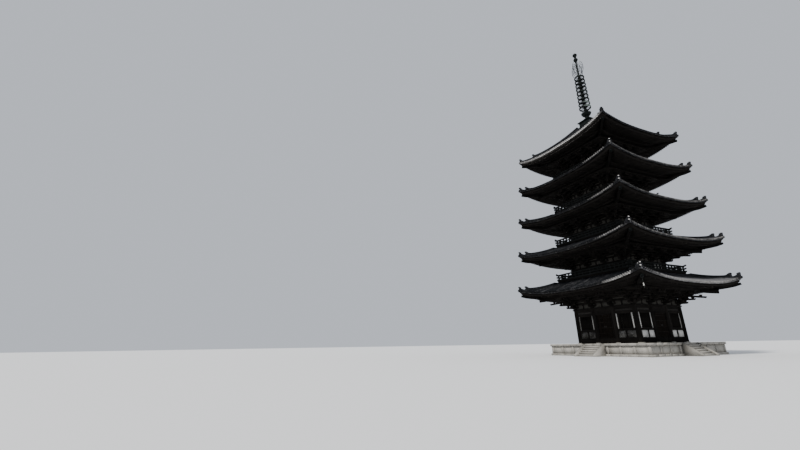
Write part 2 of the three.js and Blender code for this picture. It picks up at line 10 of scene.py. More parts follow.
import bpy
import numpy as np
from mathutils import Matrix, Vector


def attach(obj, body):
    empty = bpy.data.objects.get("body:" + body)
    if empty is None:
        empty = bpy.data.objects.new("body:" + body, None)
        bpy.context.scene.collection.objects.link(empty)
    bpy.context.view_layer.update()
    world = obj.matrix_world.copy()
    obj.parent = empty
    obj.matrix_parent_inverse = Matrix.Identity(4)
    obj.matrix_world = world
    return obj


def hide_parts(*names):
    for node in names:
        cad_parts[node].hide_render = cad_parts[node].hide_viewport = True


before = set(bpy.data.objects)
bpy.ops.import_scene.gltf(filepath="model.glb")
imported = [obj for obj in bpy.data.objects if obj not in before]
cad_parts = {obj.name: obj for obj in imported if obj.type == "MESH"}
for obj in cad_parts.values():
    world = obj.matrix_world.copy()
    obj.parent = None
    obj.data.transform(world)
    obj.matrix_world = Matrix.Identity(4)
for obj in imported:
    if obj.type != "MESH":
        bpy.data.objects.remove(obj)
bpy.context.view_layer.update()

SCALE = 0.5
SIDES = ["south", "east", "north", "west"]
UP = np.array([0.0, 0.0, 1.0])
OUT = np.array([0.0, -1.0, 0.0])
ALONG = np.array([1.0, 0.0, 0.0])
CORNER_OUT = np.array([1.0, -1.0, 0.0]) / math.sqrt(2)
CORNER_ALONG = np.array([1.0, 1.0, 0.0]) / math.sqrt(2)
random = np.random.default_rng(1426)

# The tower's driving sizes, in real metres. A half is half of a square's width.
STOREY_COUNT = 5
PODIUM_HALF, PODIUM_TOP = 7.2, 1.5
WALL_HALF, WALL_STEP_IN = 4.42, 0.38
EAVE_HALF, EAVE_STEP_IN = 9.89, 0.4425
EAVE_LEVEL, STOREY_RISE, TOP_STOREY_LESS = 8.05, 5.47, 0.4
COLUMN_RADIUS, UPPER_COLUMN_RADIUS, BAY_LINE = 0.28, 0.24, 1.48
PLATE_HEIGHT, HEAD_BELOW_EAVE = 0.16, 1.75
DECK_ABOVE_EAVE, DECK_LESS, FLAT_UNDER_DECK = 2.45, 0.1, 0.22
DECK_REACH, RAIL_REACH = 1.68, 1.52
FINIAL_FOOT, FINIAL_TOP = 35.3, 50.1

# The ground storey's levels, from the sill's top to the tie beam under the brackets
SILL_TOP, PANEL_TOP, WINDOW_LOW, WINDOW_HIGH = 2.17, 3.02, 3.26, 5.17
LINTEL_TOP, TIE_LOW, TIE_TOP = 5.45, 5.7, 6.0

# The upper storeys' sills and lintels, the windows' half widths and the plaster's half thickness
SILL_ABOVE_FLOOR, LINTEL_BELOW_HEAD = 0.3, 0.42
GROUND_WINDOW_HALF, WINDOW_MARGIN, PLASTER_HALF = 0.83, 0.14, 0.07

# The brackets step out three times, the last time to the purlin, and their heights are counted in units, of
# which the purlin's top lies 2.1 over the wall plate
STEPS_OUT = (0.65, 1.3, 1.95)
PURLIN_ABOVE_EAVE, PURLIN_UNITS, PURLIN_EDGE = 0.21, 2.1, 0.13

# The roofs: their tile bed, their corners' upturn, how straight their slopes are, and their upper edges
TILE_BED, UPTURN, UPTURN_POWER = 0.3, 1.15, 2.6
STRAIGHTNESS, TOP_STRAIGHTNESS = 0.8, 0.62
SEAT_BEYOND_WALL, TOP_SEAT_HALF = 1.3, 1.05
TILES_BEYOND_WALL, TOP_INNER_HALF = 0.05, 0.5

# The rafters: how far their tips stop before the eave, and how they fall towards it
BASE_TIP_INSET, FLYING_TIP_INSET = 2.25, 0.35
BASE_SLOPE, FLYING_FALL, RAFTER_GAP = 0.38, 0.28, 0.02

# How far the grain of a member of tone 1 lies from that of tone 0, so that no two look alike
GRAIN_SHIFT = 37.0


# Shapes


@dataclass
class Part:
    """Points, faces grouped by their number of corners, and two marks a point.

    The marks are the grain, as distances along, across and up a member, and the tone.
    """

    points: np.ndarray
    faces: list
    grain: np.ndarray
    tone: np.ndarray


def join(parts):
    """One part of several, with the faces renumbered."""
    parts = list(parts)
    starts = np.cumsum([0] + [len(part.points) for part in parts[:-1]])
    sizes = sorted({faces.shape[1] for part in parts for faces in part.faces})
    numbered = [faces + start for part, start in zip(parts, starts) for faces in part.faces]
    grouped = [np.concatenate([faces for faces in numbered if faces.shape[1] == size]) for size in sizes]
    return Part(
        np.concatenate([part.points for part in parts]),
        grouped,
        np.concatenate([part.grain for part in parts]),
        np.concatenate([part.tone for part in parts]),
    )


def quarter(part, turns):
    """The part turned by whole quarter turns about the tower's axis."""
    cos, sin = ((1, 0), (0, 1), (-1, 0), (0, -1))[turns % 4]
    x, y, z = part.points.T
    return replace(part, points=np.stack([cos * x - sin * y, sin * x + cos * y, z], 1))


def all_round(*parts):
    """The parts on all four sides."""
    return join([quarter(part, turns) for turns in range(4) for part in parts])


def sides_of(make):
    """The four sides of a thing whose marks differ from side to side."""
    return join([quarter(make(side), side) for side in range(4)])


def skin(rings, grain, tone, closed=False):
    """Skins N stacks of R rings of P points, each ring anticlockwise to one who looks along the stack.

    Point (n, r, p) has the number (n R + r) P + p, and each face joins p and p + 1 on the rings r and r + 1.
    """
    count, length, around = rings.shape[:3]
    number = np.arange(count * length * around).reshape(count, length, around)
    here = number if closed else number[:, :-1]
    ahead = np.roll(number, -1, axis=1) if closed else number[:, 1:]
    walls = np.stack([here, ahead, np.roll(ahead, -1, axis=2), np.roll(here, -1, axis=2)], -1).reshape(-1, 4)
    faces = [walls]
    if not closed:
        faces.append(number[:, 0])
        faces.append(number[:, -1, ::-1])
    tone = np.broadcast_to(np.asarray(tone, float).reshape(-1, 1, 1), rings.shape[:3])
    grain = np.broadcast_to(grain, rings.shape)
    return Part(rings.reshape(-1, 3), faces, grain.reshape(-1, 3), tone.reshape(-1))


def unit(vectors):
    """The vectors brought to a length of 1."""
    return vectors / np.maximum(np.linalg.norm(vectors, axis=-1, keepdims=True), 1e-9)


def ramp(value, low, length):
    """0 up to low, then rising evenly to 1 over a length, and 1 from there on."""
    return np.clip((value - low) / length, 0, 1)


def tones(tone, count):
    """The tones of some members: the one given, or else one by chance for each."""
    if tone is None:
        return random.random(count)
    return np.broadcast_to(np.asarray(tone, float), (count,))


def carry(paths, section, upward=UP, size=1.0, tone=None, closed=False):
    """Carries a section (P points of side, up) along N paths of R points.

    At each path point the side is the path's direction crossed with upward, and up is square to both. size
    makes the section larger or smaller, by one number, a number a point, or two for each point's side and up.
    """
    paths = np.asarray(paths, float)
    if paths.ndim == 2:
        paths = paths[None]
    count, length = paths.shape[:2]
    if closed:
        ahead = np.roll(paths, -1, axis=1) - np.roll(paths, 1, axis=1)
    else:
        ahead = np.gradient(paths, axis=1)
    ahead = unit(ahead)
    side = unit(np.cross(ahead, np.broadcast_to(upward, ahead.shape)))
    up = np.cross(side, ahead)
    if np.ndim(size) < 3:
        size = np.broadcast_to(np.asarray(size, float), (count, length))[..., None, None]
    local = np.asarray(section, float)[None, None] * size
    rings = paths[:, :, None] + local[..., :1] * side[:, :, None] + local[..., 1:] * up[:, :, None]
    steps = np.linalg.norm(np.diff(paths, axis=1), axis=2)
    travelled = np.concatenate([np.zeros((count, 1)), np.cumsum(steps, 1)], 1)
    tone = tones(tone, count)
    shift = (tone * GRAIN_SHIFT)[:, None, None]
    shape = rings.shape[:3]
    along = np.broadcast_to(travelled[:, :, None] + shift, shape)
    across, up = (np.broadcast_to(local[..., axis], shape) for axis in (0, 1))
    return skin(rings, np.stack([along, across + shift, up], -1), tone, closed)


def rectangle(width, height, foot=None):
    """A rectangle about the path, or standing on it at a foot height."""
    low = -height / 2 if foot is None else foot
    half, high = width / 2, low + height
    return np.array([[-half, low], [half, low], [half, high], [-half, high]])


def chamfered(width, height, bevel):
    """A rectangle with its four corners cut off."""
    w, h = width / 2, height / 2
    return np.array([
        [-w + bevel, -h], [w - bevel, -h], [w, -h + bevel], [w, h - bevel],
        [w - bevel, h], [-w + bevel, h], [-w, h - bevel], [-w, -h + bevel],
    ])


def circle(radius, sides):
    """A round section as a polygon, with a flat side to the right."""
    angle = (np.arange(sides) + 0.5) / sides * 2 * math.pi
    return radius * np.stack([np.cos(angle), np.sin(angle)], 1)


def bars(start, end, section, upward=UP, tone=None):
    """Straight members from each start to its end."""
    start, end = np.broadcast_arrays(np.atleast_2d(start).astype(float), np.atleast_2d(end).astype(float))
    return carry(np.stack([start, end], 1), section, upward, tone=tone)


def uprights(x, y, low, high, section, tone=None):
    """Posts that stand at each x and y."""
    x, y, low, high = np.broadcast_arrays(*np.atleast_1d(x, y, low, high))
    return bars(np.stack([x, y, low], 1), np.stack([x, y, high], 1), section, OUT, tone)


def beam(x0, x1, out, level, section, tone=None):
    """Members on the south side, from x0 to x1, at a distance out from the axis."""
    x0, x1, out, level = np.broadcast_arrays(*np.atleast_1d(x0, x1, out, level))
    return bars(np.stack([x0, -out, level], 1), np.stack([x1, -out, level], 1), section, tone=tone)


def slab(x, y, z, bevel=0.0, tone=None):
    """Boxes given by their lowest and highest x, y and z, with their upper edges bevelled on request."""
    x0, x1, y0, y1, z0, z1 = np.broadcast_arrays(*np.atleast_1d(x[0], x[1], y[0], y[1], z[0], z[1]))
    middle = np.stack([(x0 + x1) / 2, (y0 + y1) / 2], 1)
    half = np.stack([(x1 - x0) / 2, (y1 - y0) / 2], 1)
    steps = [(z0, 0.0), (z1, 0.0)] if bevel == 0 else [(z0, 0.0), (z1 - bevel, 0.0), (z1, bevel)]
    signs = np.array([[-1, -1], [-1, 1], [1, 1], [1, -1]])
    rings = np.stack([
        np.concatenate([
            middle[:, None] + signs * (half[:, None] - inset),
            np.broadcast_to(level[:, None, None], (len(middle), 4, 1)),
        ], -1)
        for level, inset in steps
    ], 1)
    rings = rings[:, :, ::-1]
    tone = tones(tone, len(middle))
    return skin(rings, rings + (tone * GRAIN_SHIFT)[:, None, None, None], tone)


def plates(profile, centres, width, along=ALONG, tone=None):
    """Upright plates with an outline of (out, up) points, carried across a width at each distance along."""
    outward = np.array([along[1], -along[0], 0.0])
    centres = np.atleast_1d(np.asarray(centres, float))
    profile = np.asarray(profile, float)
    flat = profile[:, :1] * outward + profile[:, 1:] * UP
    offsets = centres[:, None] + np.array([-width / 2, width / 2])
    rings = flat[None, None] + offsets[:, :, None, None] * along
    tone = tones(tone, len(centres))
    shift = (tone * GRAIN_SHIFT)[:, None, None]
    shape = rings.shape[:3]
    out, up = (np.broadcast_to(profile[:, axis], shape) for axis in (0, 1))
    across = np.broadcast_to(np.array([-width / 2, width / 2])[None, :, None], shape)
    return skin(rings, np.stack([out + shift, across + shift, up], -1), tone)


def turned(profile, sides=32, middle=(0.0, 0.0), tone=0.5):
    """A solid of revolution about the vertical through middle, from (radius, level) points that start low."""
    profile = np.asarray(profile, float)
    angle = np.arange(sides) / sides * 2 * math.pi
    ring = np.stack([np.cos(angle), np.sin(angle)], 1)
    rings = np.concatenate([
        np.asarray(middle) + profile[:, None, :1] * ring,
        np.broadcast_to(profile[:, None, 1:], (len(profile), sides, 1)),
    ], -1)[None]
    return skin(rings, rings, [tone])


def blocks(centres, width, height, along=ALONG):
    """Square bearing blocks that stand at the centres, narrowed in their lower part by a hollow curve."""
    centres = np.atleast_2d(centres).astype(float)
    levels = np.array([0.0, 0.12, 0.42, 1.0]) * height
    grow = np.array([0.66, 0.74, 1.0, 1.0])
    paths = centres[:, None] + levels[:, None] * UP
    outward = np.array([along[1], -along[0], 0.0])
    return carry(paths, rectangle(width, width), outward, np.broadcast_to(grow, (len(centres), 4)))


def square_ring(loop, stations):
    """A closed square ring, from a loop of (half width, level) that runs anticlockwise.

    Each level is a function of t, which goes from -1 to 1 along a side. The stations are the values of t.
    """
    stations = np.asarray(stations, float)
    ring = np.stack([
        np.stack([stations * half, np.full_like(stations, -half), level(stations) + 0 * stations], -1)
        for half, level in loop
    ], 1)
    quarter_turn = np.array([[0, 1, 0], [-1, 0, 0], [0, 0, 1.0]])
    rings = [ring]
    for _ in range(3):
        rings.append(rings[-1] @ quarter_turn)
    rings = np.concatenate(rings)[None]
    return skin(rings, rings, [0.5], closed=True)


def level_at(value):
    """A level that is the same all along a side."""
    return lambda t: np.full_like(t, value)


def square_loop(points):
    """A square ring of a loop of (half width, level) points, straight along its sides."""
    return square_ring([(half, level_at(level)) for half, level in points], [-1.0])


def square_tube(inner, outer, low, high):
    """A square ring of rectangular section."""
    return square_loop([(inner, low), (outer, low), (outer, high), (inner, high)])


def solid_faces(part):
    """The part without the faces that have no area."""
    kept = []
    for faces in part.faces:
        corners = part.points[faces]
        area = sum(
            np.linalg.norm(np.cross(corners[:, k] - corners[:, 0], corners[:, k + 1] - corners[:, 0]), axis=1)
            for k in range(1, faces.shape[1] - 1)
        )
        kept.append(faces[area > 1e-7])
    return replace(part, faces=kept)


def make_piece(name, part, material, body="tower", smooth=None, nodes=()):
    """Puts a part into a mesh at the model's scale. Edges under the angle smooth, in degrees, look round."""
    mesh = bpy.data.meshes.new(name)
    loops = np.concatenate([faces.ravel() for faces in part.faces])
    sizes = np.concatenate([np.full(len(faces), faces.shape[1]) for faces in part.faces])
    mesh.vertices.add(len(part.points))
    mesh.vertices.foreach_set("co", (part.points * SCALE).astype(np.float32).ravel())
    mesh.loops.add(len(loops))
    mesh.loops.foreach_set("vertex_index", loops.astype(np.int32))
    mesh.polygons.add(len(sizes))
    mesh.polygons.foreach_set("loop_start", np.concatenate([[0], np.cumsum(sizes)[:-1]]).astype(np.int32))
    mesh.update(calc_edges=True)
    grain = mesh.attributes.new("grain", "FLOAT_VECTOR", "POINT")
    grain.data.foreach_set("vector", part.grain.astype(np.float32).ravel())
    tone = mesh.attributes.new("tone", "FLOAT", "POINT")
    tone.data.foreach_set("value", part.tone.astype(np.float32))
    mesh.validate()
    mesh.materials.append(material)
    if smooth:
        mesh.shade_smooth()
        mesh.set_sharp_from_angle(angle=math.radians(smooth))
    piece = bpy.data.objects.new(name, mesh)
    bpy.context.scene.collection.objects.link(piece)
    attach(piece, body)
    if nodes:
        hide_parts(*nodes)


# Materials


def shader_group(name, inputs, outputs):
    """A shader node group with its named sockets, and its input and output nodes."""
    group = bpy.data.node_groups.new(name, "ShaderNodeTree")
    for label, kind, value in inputs:
        socket = group.interface.new_socket(label, in_out="INPUT", socket_type=kind)
        if value is not None:
            socket.default_value = value
    for label, kind in outputs:
        group.interface.new_socket(label, in_out="OUTPUT", socket_type=kind)
    return group, group.nodes.new("NodeGroupInput"), group.nodes.new("NodeGroupOutput")


def noise(tree, vector, scale, detail, roughness, stretch=(1, 1, 1)):
    """A noise texture's value over a stretched vector."""
    mapping = tree.nodes.new("ShaderNodeMapping")
    mapping.inputs["Scale"].default_value = stretch
    texture = tree.nodes.new("ShaderNodeTexNoise")
    texture.inputs["Scale"].default_value = scale
    texture.inputs["Detail"].default_value = detail
    texture.inputs["Roughness"].default_value = roughness
    tree.links.new(vector, mapping.inputs["Vector"])
    tree.links.new(mapping.outputs["Vector"], texture.inputs["Vector"])
    return texture.outputs["Fac"]


def spread(tree, value, low, high, to_low=0.0, to_high=1.0):
    """A value's stretch from low to high brought to another range."""
    node = tree.nodes.new("ShaderNodeMapRange")
    node.inputs["From Min"].default_value = low
    node.inputs["From Max"].default_value = high
    node.inputs["To Min"].default_value = to_low
    node.inputs["To Max"].default_value = to_high
    tree.links.new(value, node.inputs["Value"])
    return node.outputs["Result"]


def math_node(tree, operation, first, second):
    """The outcome of an operation on two values, each a number or a socket."""
    node = tree.nodes.new("ShaderNodeMath")
    node.operation = operation
    for socket, value in zip(node.inputs, (first, second)):
        if isinstance(value, (int, float)):
            socket.default_value = value
        else:
            tree.links.new(value, socket)
    return node.outputs["Value"]


def mix_color(tree, factor, first, second):
    """The first colour at factor 0, the second at 1."""
    node = tree.nodes.new("ShaderNodeMix")
    node.data_type = "RGBA"
    for socket, value in ((node.inputs[0], factor), (node.inputs[6], first), (node.inputs[7], second)):
        tree.links.new(value, socket)
    return node.outputs[2]


def wood_group():
    """Old timber: long fibres, broad stains and a tone that differs from member to member."""
    group, given, made = shader_group(
        "old_timber",
        [("Vector", "NodeSocketVector", None), ("Tone", "NodeSocketFloat", 0.5),
         ("Dark", "NodeSocketColor", (0.02, 0.015, 0.012, 1)),
         ("Light", "NodeSocketColor", (0.1, 0.08, 0.06, 1))],
        [("Color", "NodeSocketColor"), ("Roughness", "NodeSocketFloat"), ("Height", "NodeSocketFloat")],
    )
    vector, tone = given.outputs["Vector"], given.outputs["Tone"]
    fibre = noise(group, vector, 1.0, 5.0, 0.6, (2.2, 46, 46))
    stain = noise(group, vector, 1.0, 3.0, 0.5, (0.7, 2.4, 2.4))
    weight = math_node(group, "MULTIPLY", spread(group, fibre, 0.3, 0.7), 0.5)
    stained = math_node(group, "MULTIPLY", spread(group, stain, 0.35, 0.7), 0.35)
    weight = math_node(group, "ADD", weight, stained)
    weight = math_node(group, "ADD", weight, math_node(group, "MULTIPLY", tone, 0.3))
    color = mix_color(group, spread(group, weight, 0.15, 0.95), given.outputs["Dark"], given.outputs["Light"])
    group.links.new(color, made.inputs["Color"])
    group.links.new(spread(group, fibre, 0.3, 0.7, 0.92, 0.74), made.inputs["Roughness"])
    group.links.new(fibre, made.inputs["Height"])
    return group


def mottle_group():
    """Clay, stone, plaster and bronze: fine grains, broad stains, streaks that run down, and a tone."""
    group, given, made = shader_group(
        "mottled_surface",
        [("Vector", "NodeSocketVector", None), ("Tone", "NodeSocketFloat", 0.5),
         ("Grain Scale", "NodeSocketFloat", 60.0),
         ("Dark", "NodeSocketColor", (0.1, 0.1, 0.1, 1)), ("Light", "NodeSocketColor", (0.4, 0.4, 0.4, 1)),
         ("Stain", "NodeSocketColor", (0.2, 0.2, 0.2, 1)), ("Stain Amount", "NodeSocketFloat", 0.5),
         ("Tone Amount", "NodeSocketFloat", 0.4)],
        [("Color", "NodeSocketColor"), ("Mask", "NodeSocketFloat"), ("Height", "NodeSocketFloat")],
    )
    vector = given.outputs["Vector"]
    fine = group.nodes.new("ShaderNodeTexNoise")
    fine.inputs["Detail"].default_value = 4.0
    group.links.new(vector, fine.inputs["Vector"])
    group.links.new(given.outputs["Grain Scale"], fine.inputs["Scale"])
    broad = noise(group, vector, 1.3, 5.0, 0.6)
    streak = noise(group, vector, 1.0, 4.0, 0.6, (7, 7, 0.8))
    weight = math_node(group, "MULTIPLY", spread(group, fine.outputs["Fac"], 0.3, 0.7), 0.5)
    toned = math_node(group, "MULTIPLY", given.outputs["Tone"], given.outputs["Tone Amount"])
    weight = math_node(group, "ADD", weight, toned)
    clouded = math_node(group, "MULTIPLY", spread(group, broad, 0.35, 0.7), 0.3)
    weight = math_node(group, "ADD", weight, clouded)
    base = mix_color(group, spread(group, weight, 0.1, 1.0), given.outputs["Dark"], given.outputs["Light"])
    stained = math_node(group, "MULTIPLY", spread(group, broad, 0.45, 0.72), spread(group, streak, 0.4, 0.65))
    stained = math_node(group, "MULTIPLY", stained, given.outputs["Stain Amount"])
    group.links.new(mix_color(group, stained, base, given.outputs["Stain"]), made.inputs["Color"])
    group.links.new(stained, made.inputs["Mask"])
    group.links.new(fine.outputs["Fac"], made.inputs["Height"])
    return group


WOOD_GROUP = wood_group()
MOTTLE_GROUP = mottle_group()


def surface_inputs(tree, on_object):
    """The vector and tone that a material reads: a made piece's own marks, or the object's coordinates.

    on_object says how the fibres run in an object without marks: level or upright.
    """
    if on_object:
        coordinates = tree.nodes.new("ShaderNodeTexCoord")
        mapping = tree.nodes.new("ShaderNodeMapping")
        mapping.inputs["Scale"].default_value = (1 / SCALE,) * 3
        if on_object == "upright":
            mapping.inputs["Rotation"].default_value = (0, math.pi / 2, 0)
        tree.links.new(coordinates.outputs["Object"], mapping.inputs["Vector"])
        return mapping.outputs["Vector"], None
    grain = tree.nodes.new("ShaderNodeAttribute")
    grain.attribute_name = "grain"
    tone = tree.nodes.new("ShaderNodeAttribute")
    tone.attribute_name = "tone"
    return grain.outputs["Vector"], tone.outputs["Fac"]


def finish_material(name, group, bump, depth, gloss, settings, roughness=None, metallic=0.0, on_object=None):
    """A material from one of the shared groups. settings fill the group's sockets by name."""
    material = bpy.data.materials.new(name)
    material.use_nodes = True
    tree = material.node_tree
    shader = tree.nodes["Principled BSDF"]
    vector, tone = surface_inputs(tree, on_object)
    surface = tree.nodes.new("ShaderNodeGroup")
    surface.node_tree = group
    tree.links.new(vector, surface.inputs["Vector"])
    if tone is not None:
        tree.links.new(tone, surface.inputs["Tone"])
    for label, value in settings.items():
        surface.inputs[label].default_value = (*value, 1.0) if isinstance(value, tuple) else value
    tree.links.new(surface.outputs["Color"], shader.inputs["Base Color"])
    if roughness is None:
        tree.links.new(surface.outputs["Roughness"], shader.inputs["Roughness"])
    else:
        worn = spread(tree, surface.outputs["Mask"], 0.0, 0.6, *roughness)
        tree.links.new(worn, shader.inputs["Roughness"])
    shader.inputs["Metallic"].default_value = metallic
    shader.inputs["Specular IOR Level"].default_value = gloss
    relief = tree.nodes.new("ShaderNodeBump")
    relief.inputs["Strength"].default_value = bump
    relief.inputs["Distance"].default_value = depth
    tree.links.new(surface.outputs["Height"], relief.inputs["Height"])
    tree.links.new(relief.outputs["Normal"], shader.inputs["Normal"])
    return material


def timber(name, dark, light, on_object=None):
    """A finish of old timber, from the colour of its darkest fibres to its lightest."""
    settings = {"Dark": dark, "Light": light}
    return finish_material(name, WOOD_GROUP, 0.5, 0.006, 0.02, settings, on_object=on_object)


def mottled(name, dark, light, stain, roughness, grain, stain_amount=0.5, tone_amount=0.4, metallic=0.0,
            bump=0.25, gloss=0.2):
    """A finish of clay, stone, plaster or metal. roughness goes from the clean surface to a full stain."""
    settings = {"Dark": dark, "Light": light, "Stain": stain, "Grain Scale": grain,
                "Stain Amount": stain_amount, "Tone Amount": tone_amount}
    return finish_material(name, MOTTLE_GROUP, bump, 0.004, gloss, settings, roughness, metallic)


DARK_WOOD, LIGHT_WOOD = (0.0045, 0.0042, 0.004), (0.019, 0.017, 0.0155)
aged_timber = timber("aged_timber", DARK_WOOD, LIGHT_WOOD)
aged_timber_level = timber("aged_timber_level", DARK_WOOD, LIGHT_WOOD, "level")
aged_timber_upright = timber("aged_timber_upright", DARK_WOOD, LIGHT_WOOD, "upright")
rail_timber = timber("weathered_rail_timber", (0.004, 0.0042, 0.004), (0.025, 0.027, 0.026))
door_timber = timber("door_timber", (0.003, 0.0025, 0.002), (0.0125, 0.0098, 0.008))
clay_tile = mottled(
    "smoked_clay_tile", (0.008, 0.009, 0.011), (0.17, 0.17, 0.18), (0.045, 0.046, 0.045), (0.55, 0.8),
    grain=35.0, stain_amount=0.35, tone_amount=0.6, gloss=0.06)
# End tiles whose pale tone is painted light, with real stains
end_tile = mottled(
    "weathered_end_tile_painted_light", (0.008, 0.008, 0.009), (0.78, 0.76, 0.74), (0.2, 0.2, 0.19), (0.5, 0.75),
    grain=30.0, stain_amount=0.2, tone_amount=1.0, gloss=0.06)
# Eave boards whose pale tone on the top storey is painted sunlight, with real stains
end_board = mottled(
    "weathered_end_board_painted_light", (0.004, 0.0035, 0.003), (0.74, 0.68, 0.62), (0.1, 0.08, 0.07), (0.8, 0.95),
    grain=40.0, stain_amount=0.2, tone_amount=1.0, gloss=0.02)
lime_plaster = mottled(
    "lime_plaster", (0.03, 0.028, 0.026), (0.85, 0.84, 0.8), (0.16, 0.15, 0.13), (0.85, 0.95),
    grain=18.0, stain_amount=0.35, tone_amount=0.8, gloss=0.06)
# White plaster darkened all over as painted shade, for the bracket zone and the upper walls, with real stains
stained_plaster_in_painted_shade = mottled(
    "stained_plaster_in_painted_shade", (0.02, 0.019, 0.017), (0.1, 0.095, 0.085), (0.02, 0.018, 0.016), (0.85, 0.95),
    grain=18.0, stain_amount=0.8, tone_amount=0.25, gloss=0.04)
granite = mottled(
    "weathered_granite", (0.2, 0.19, 0.17), (0.46, 0.44, 0.4), (0.13, 0.13, 0.1), (0.75, 0.95),
    grain=90.0, stain_amount=0.8, tone_amount=0.35, bump=0.5)
dark_bronze = mottled(
    "dark_bronze", (0.003, 0.004, 0.004), (0.014, 0.018, 0.017), (0.014, 0.02, 0.018), (0.5, 0.8),
    grain=14.0, stain_amount=0.5, tone_amount=0.3, metallic=0.1, gloss=0.06)
# Bronze whose pale tone on the hoops is painted sunlight, with real stains
ring_bronze = mottled(
    "weathered_ring_bronze_painted_light", (0.003, 0.004, 0.004), (0.3, 0.36, 0.33), (0.02, 0.03, 0.028), (0.5, 0.8),
    grain=14.0, stain_amount=0.4, tone_amount=0.9, metallic=0.1, gloss=0.06)
forged_iron = mottled(
    "forged_iron", (0.012, 0.011, 0.01), (0.045, 0.042, 0.04), (0.06, 0.035, 0.02), (0.5, 0.8),
    grain=50.0, metallic=0.6)
bell_metal = mottled(
    "bell_metal", (0.02, 0.022, 0.02), (0.62, 0.62, 0.58), (0.2, 0.26, 0.22), (0.35, 0.6),
    grain=20.0, stain_amount=0.3, tone_amount=0.9, metallic=0.2)


# Storeys


def deck_level(index):
    """The level of the deck that stands on a storey's roof."""
    return EAVE_LEVEL + STOREY_RISE * index + DECK_ABOVE_EAVE - DECK_LESS * index


class Storey:
    """One storey's widths and levels, and the level of its tiles and rafters at any place."""

    def __init__(self, index):
        self.index = index
        self.name = f"storey{index + 1}"
        self.ground = index == 0
        self.top = index == STOREY_COUNT - 1
        self.wall_half = WALL_HALF - WALL_STEP_IN * index
        self.bay_half = BAY_LINE if self.ground else self.wall_half / 3
        self.eave_half = EAVE_HALF - EAVE_STEP_IN * index
        self.eave_level = EAVE_LEVEL + STOREY_RISE * index - (TOP_STOREY_LESS if self.top else 0)
        self.head_level = TIE_TOP if self.ground else self.eave_level - HEAD_BELOW_EAVE
        self.plate_top = self.head_level + PLATE_HEIGHT
        self.floor_level = None if self.ground else deck_level(index - 1)
        self.next_wall_half = self.wall_half - WALL_STEP_IN
        self.wall_foot = PODIUM_TOP if self.ground else self.floor_level - FLAT_UNDER_DECK
        self.seat_level = FINIAL_FOOT if self.top else deck_level(index) - FLAT_UNDER_DECK
        self.seat_half = TOP_SEAT_HALF if self.top else self.next_wall_half + SEAT_BEYOND_WALL
        self.inner_half = TOP_INNER_HALF if self.top else self.next_wall_half + TILES_BEYOND_WALL
        self.purlin_half = self.wall_half + STEPS_OUT[2]
        self.purlin_top = self.eave_level + PURLIN_ABOVE_EAVE
        self.bracket_unit = (self.purlin_top - self.plate_top) / PURLIN_UNITS
        self.base_tip = self.eave_half - BASE_TIP_INSET
        self.flying_tip = self.eave_half - FLYING_TIP_INSET
        self.column_radius = COLUMN_RADIUS if self.ground else UPPER_COLUMN_RADIUS
        self.sill = WINDOW_LOW if self.ground else self.floor_level + SILL_ABOVE_FLOOR
        self.lintel = WINDOW_HIGH if self.ground else self.head_level - LINTEL_BELOW_HEAD
        self.window_at = (self.wall_half + self.bay_half) / 2
        clear_half = (self.wall_half - self.bay_half) / 2 - self.column_radius
        self.window_half = GROUND_WINDOW_HALF if self.ground else clear_half - WINDOW_MARGIN
        self.plaster_face = (-self.wall_half - PLASTER_HALF, -self.wall_half + PLASTER_HALF)

    def share(self, half):
        """How far up the slope a half width lies: 0 at the eave, 1 at the seat."""
        return np.clip((self.eave_half - half) / (self.eave_half - self.seat_half), 0, 1)

    def lift(self, half, t):
        """How far the corner's upturn raises a place.

        It is the whole upturn at the corner itself, and grows towards it with the square of the way down the
        slope and with a power of t, the place along the side.
        """
        return UPTURN * (1 - self.share(half)) ** 2 * np.abs(t) ** UPTURN_POWER

    def tile_level(self, half, t):
        """The roof's level under its tiles: from eave to seat part line and part square, and the upturn."""
        share = self.share(half)
        straight = TOP_STRAIGHTNESS if self.top else STRAIGHTNESS
        edge = self.eave_level + TILE_BED
        way_up = straight * share + (1 - straight) * share**2
        return edge + (self.seat_level - edge) * way_up + self.lift(half, t)

    def rafter_level(self, half):
        """The underside of the base rafters, which rest on the purlin's outer edge."""
        return self.purlin_top + BASE_SLOPE * (self.purlin_half + PURLIN_EDGE - half)

    def flying_level(self, half):
        """The underside of the flying rafters, from the base rafters' tips out to the eave."""
        way_out = (half - self.base_tip) / (self.flying_tip - self.base_tip)
        return self.eave_level - RAFTER_GAP - FLYING_FALL * way_out

    def bracket_level(self, units):
        """The level some units above the wall plate."""
        return self.plate_top + units * self.bracket_unit


STOREYS = [Storey(index) for index in range(STOREY_COUNT)]
# Places along an eave, closer together towards the corners, where it curves up
EAVE_STATIONS = np.concatenate([
    np.linspace(-1, -0.5, 9)[:-1], np.linspace(-0.5, 0.5, 5)[:-1], np.linspace(0.5, 1, 9)[:-1],
])


# Roofs

TILE_PITCH, TILE_COURSE, TILE_DEPTH = 0.3, 0.34, 0.2
END_RADIUS, COURSE_STEP = 0.095, 0.02
# One row's outline across its pitch: the pan's hollow, its lip, and the round cover in the middle
ACROSS = np.array([0.0, 0.235, 0.27, 0.36, 0.5, 0.64, 0.73, 0.765])
RISE = np.array([-0.035, 0.01, 0.045, 0.09, 0.112, 0.09, 0.045, 0.01])

# The tones of a roof's tiles: those of its south side, its east side and its other sides, which differ as
# painted shade and light, and those of its ridges
SOUTH_TILES, EAST_TILES, OTHER_TILES, RIDGE_TILES = -0.85, -0.45, -0.3, -0.5

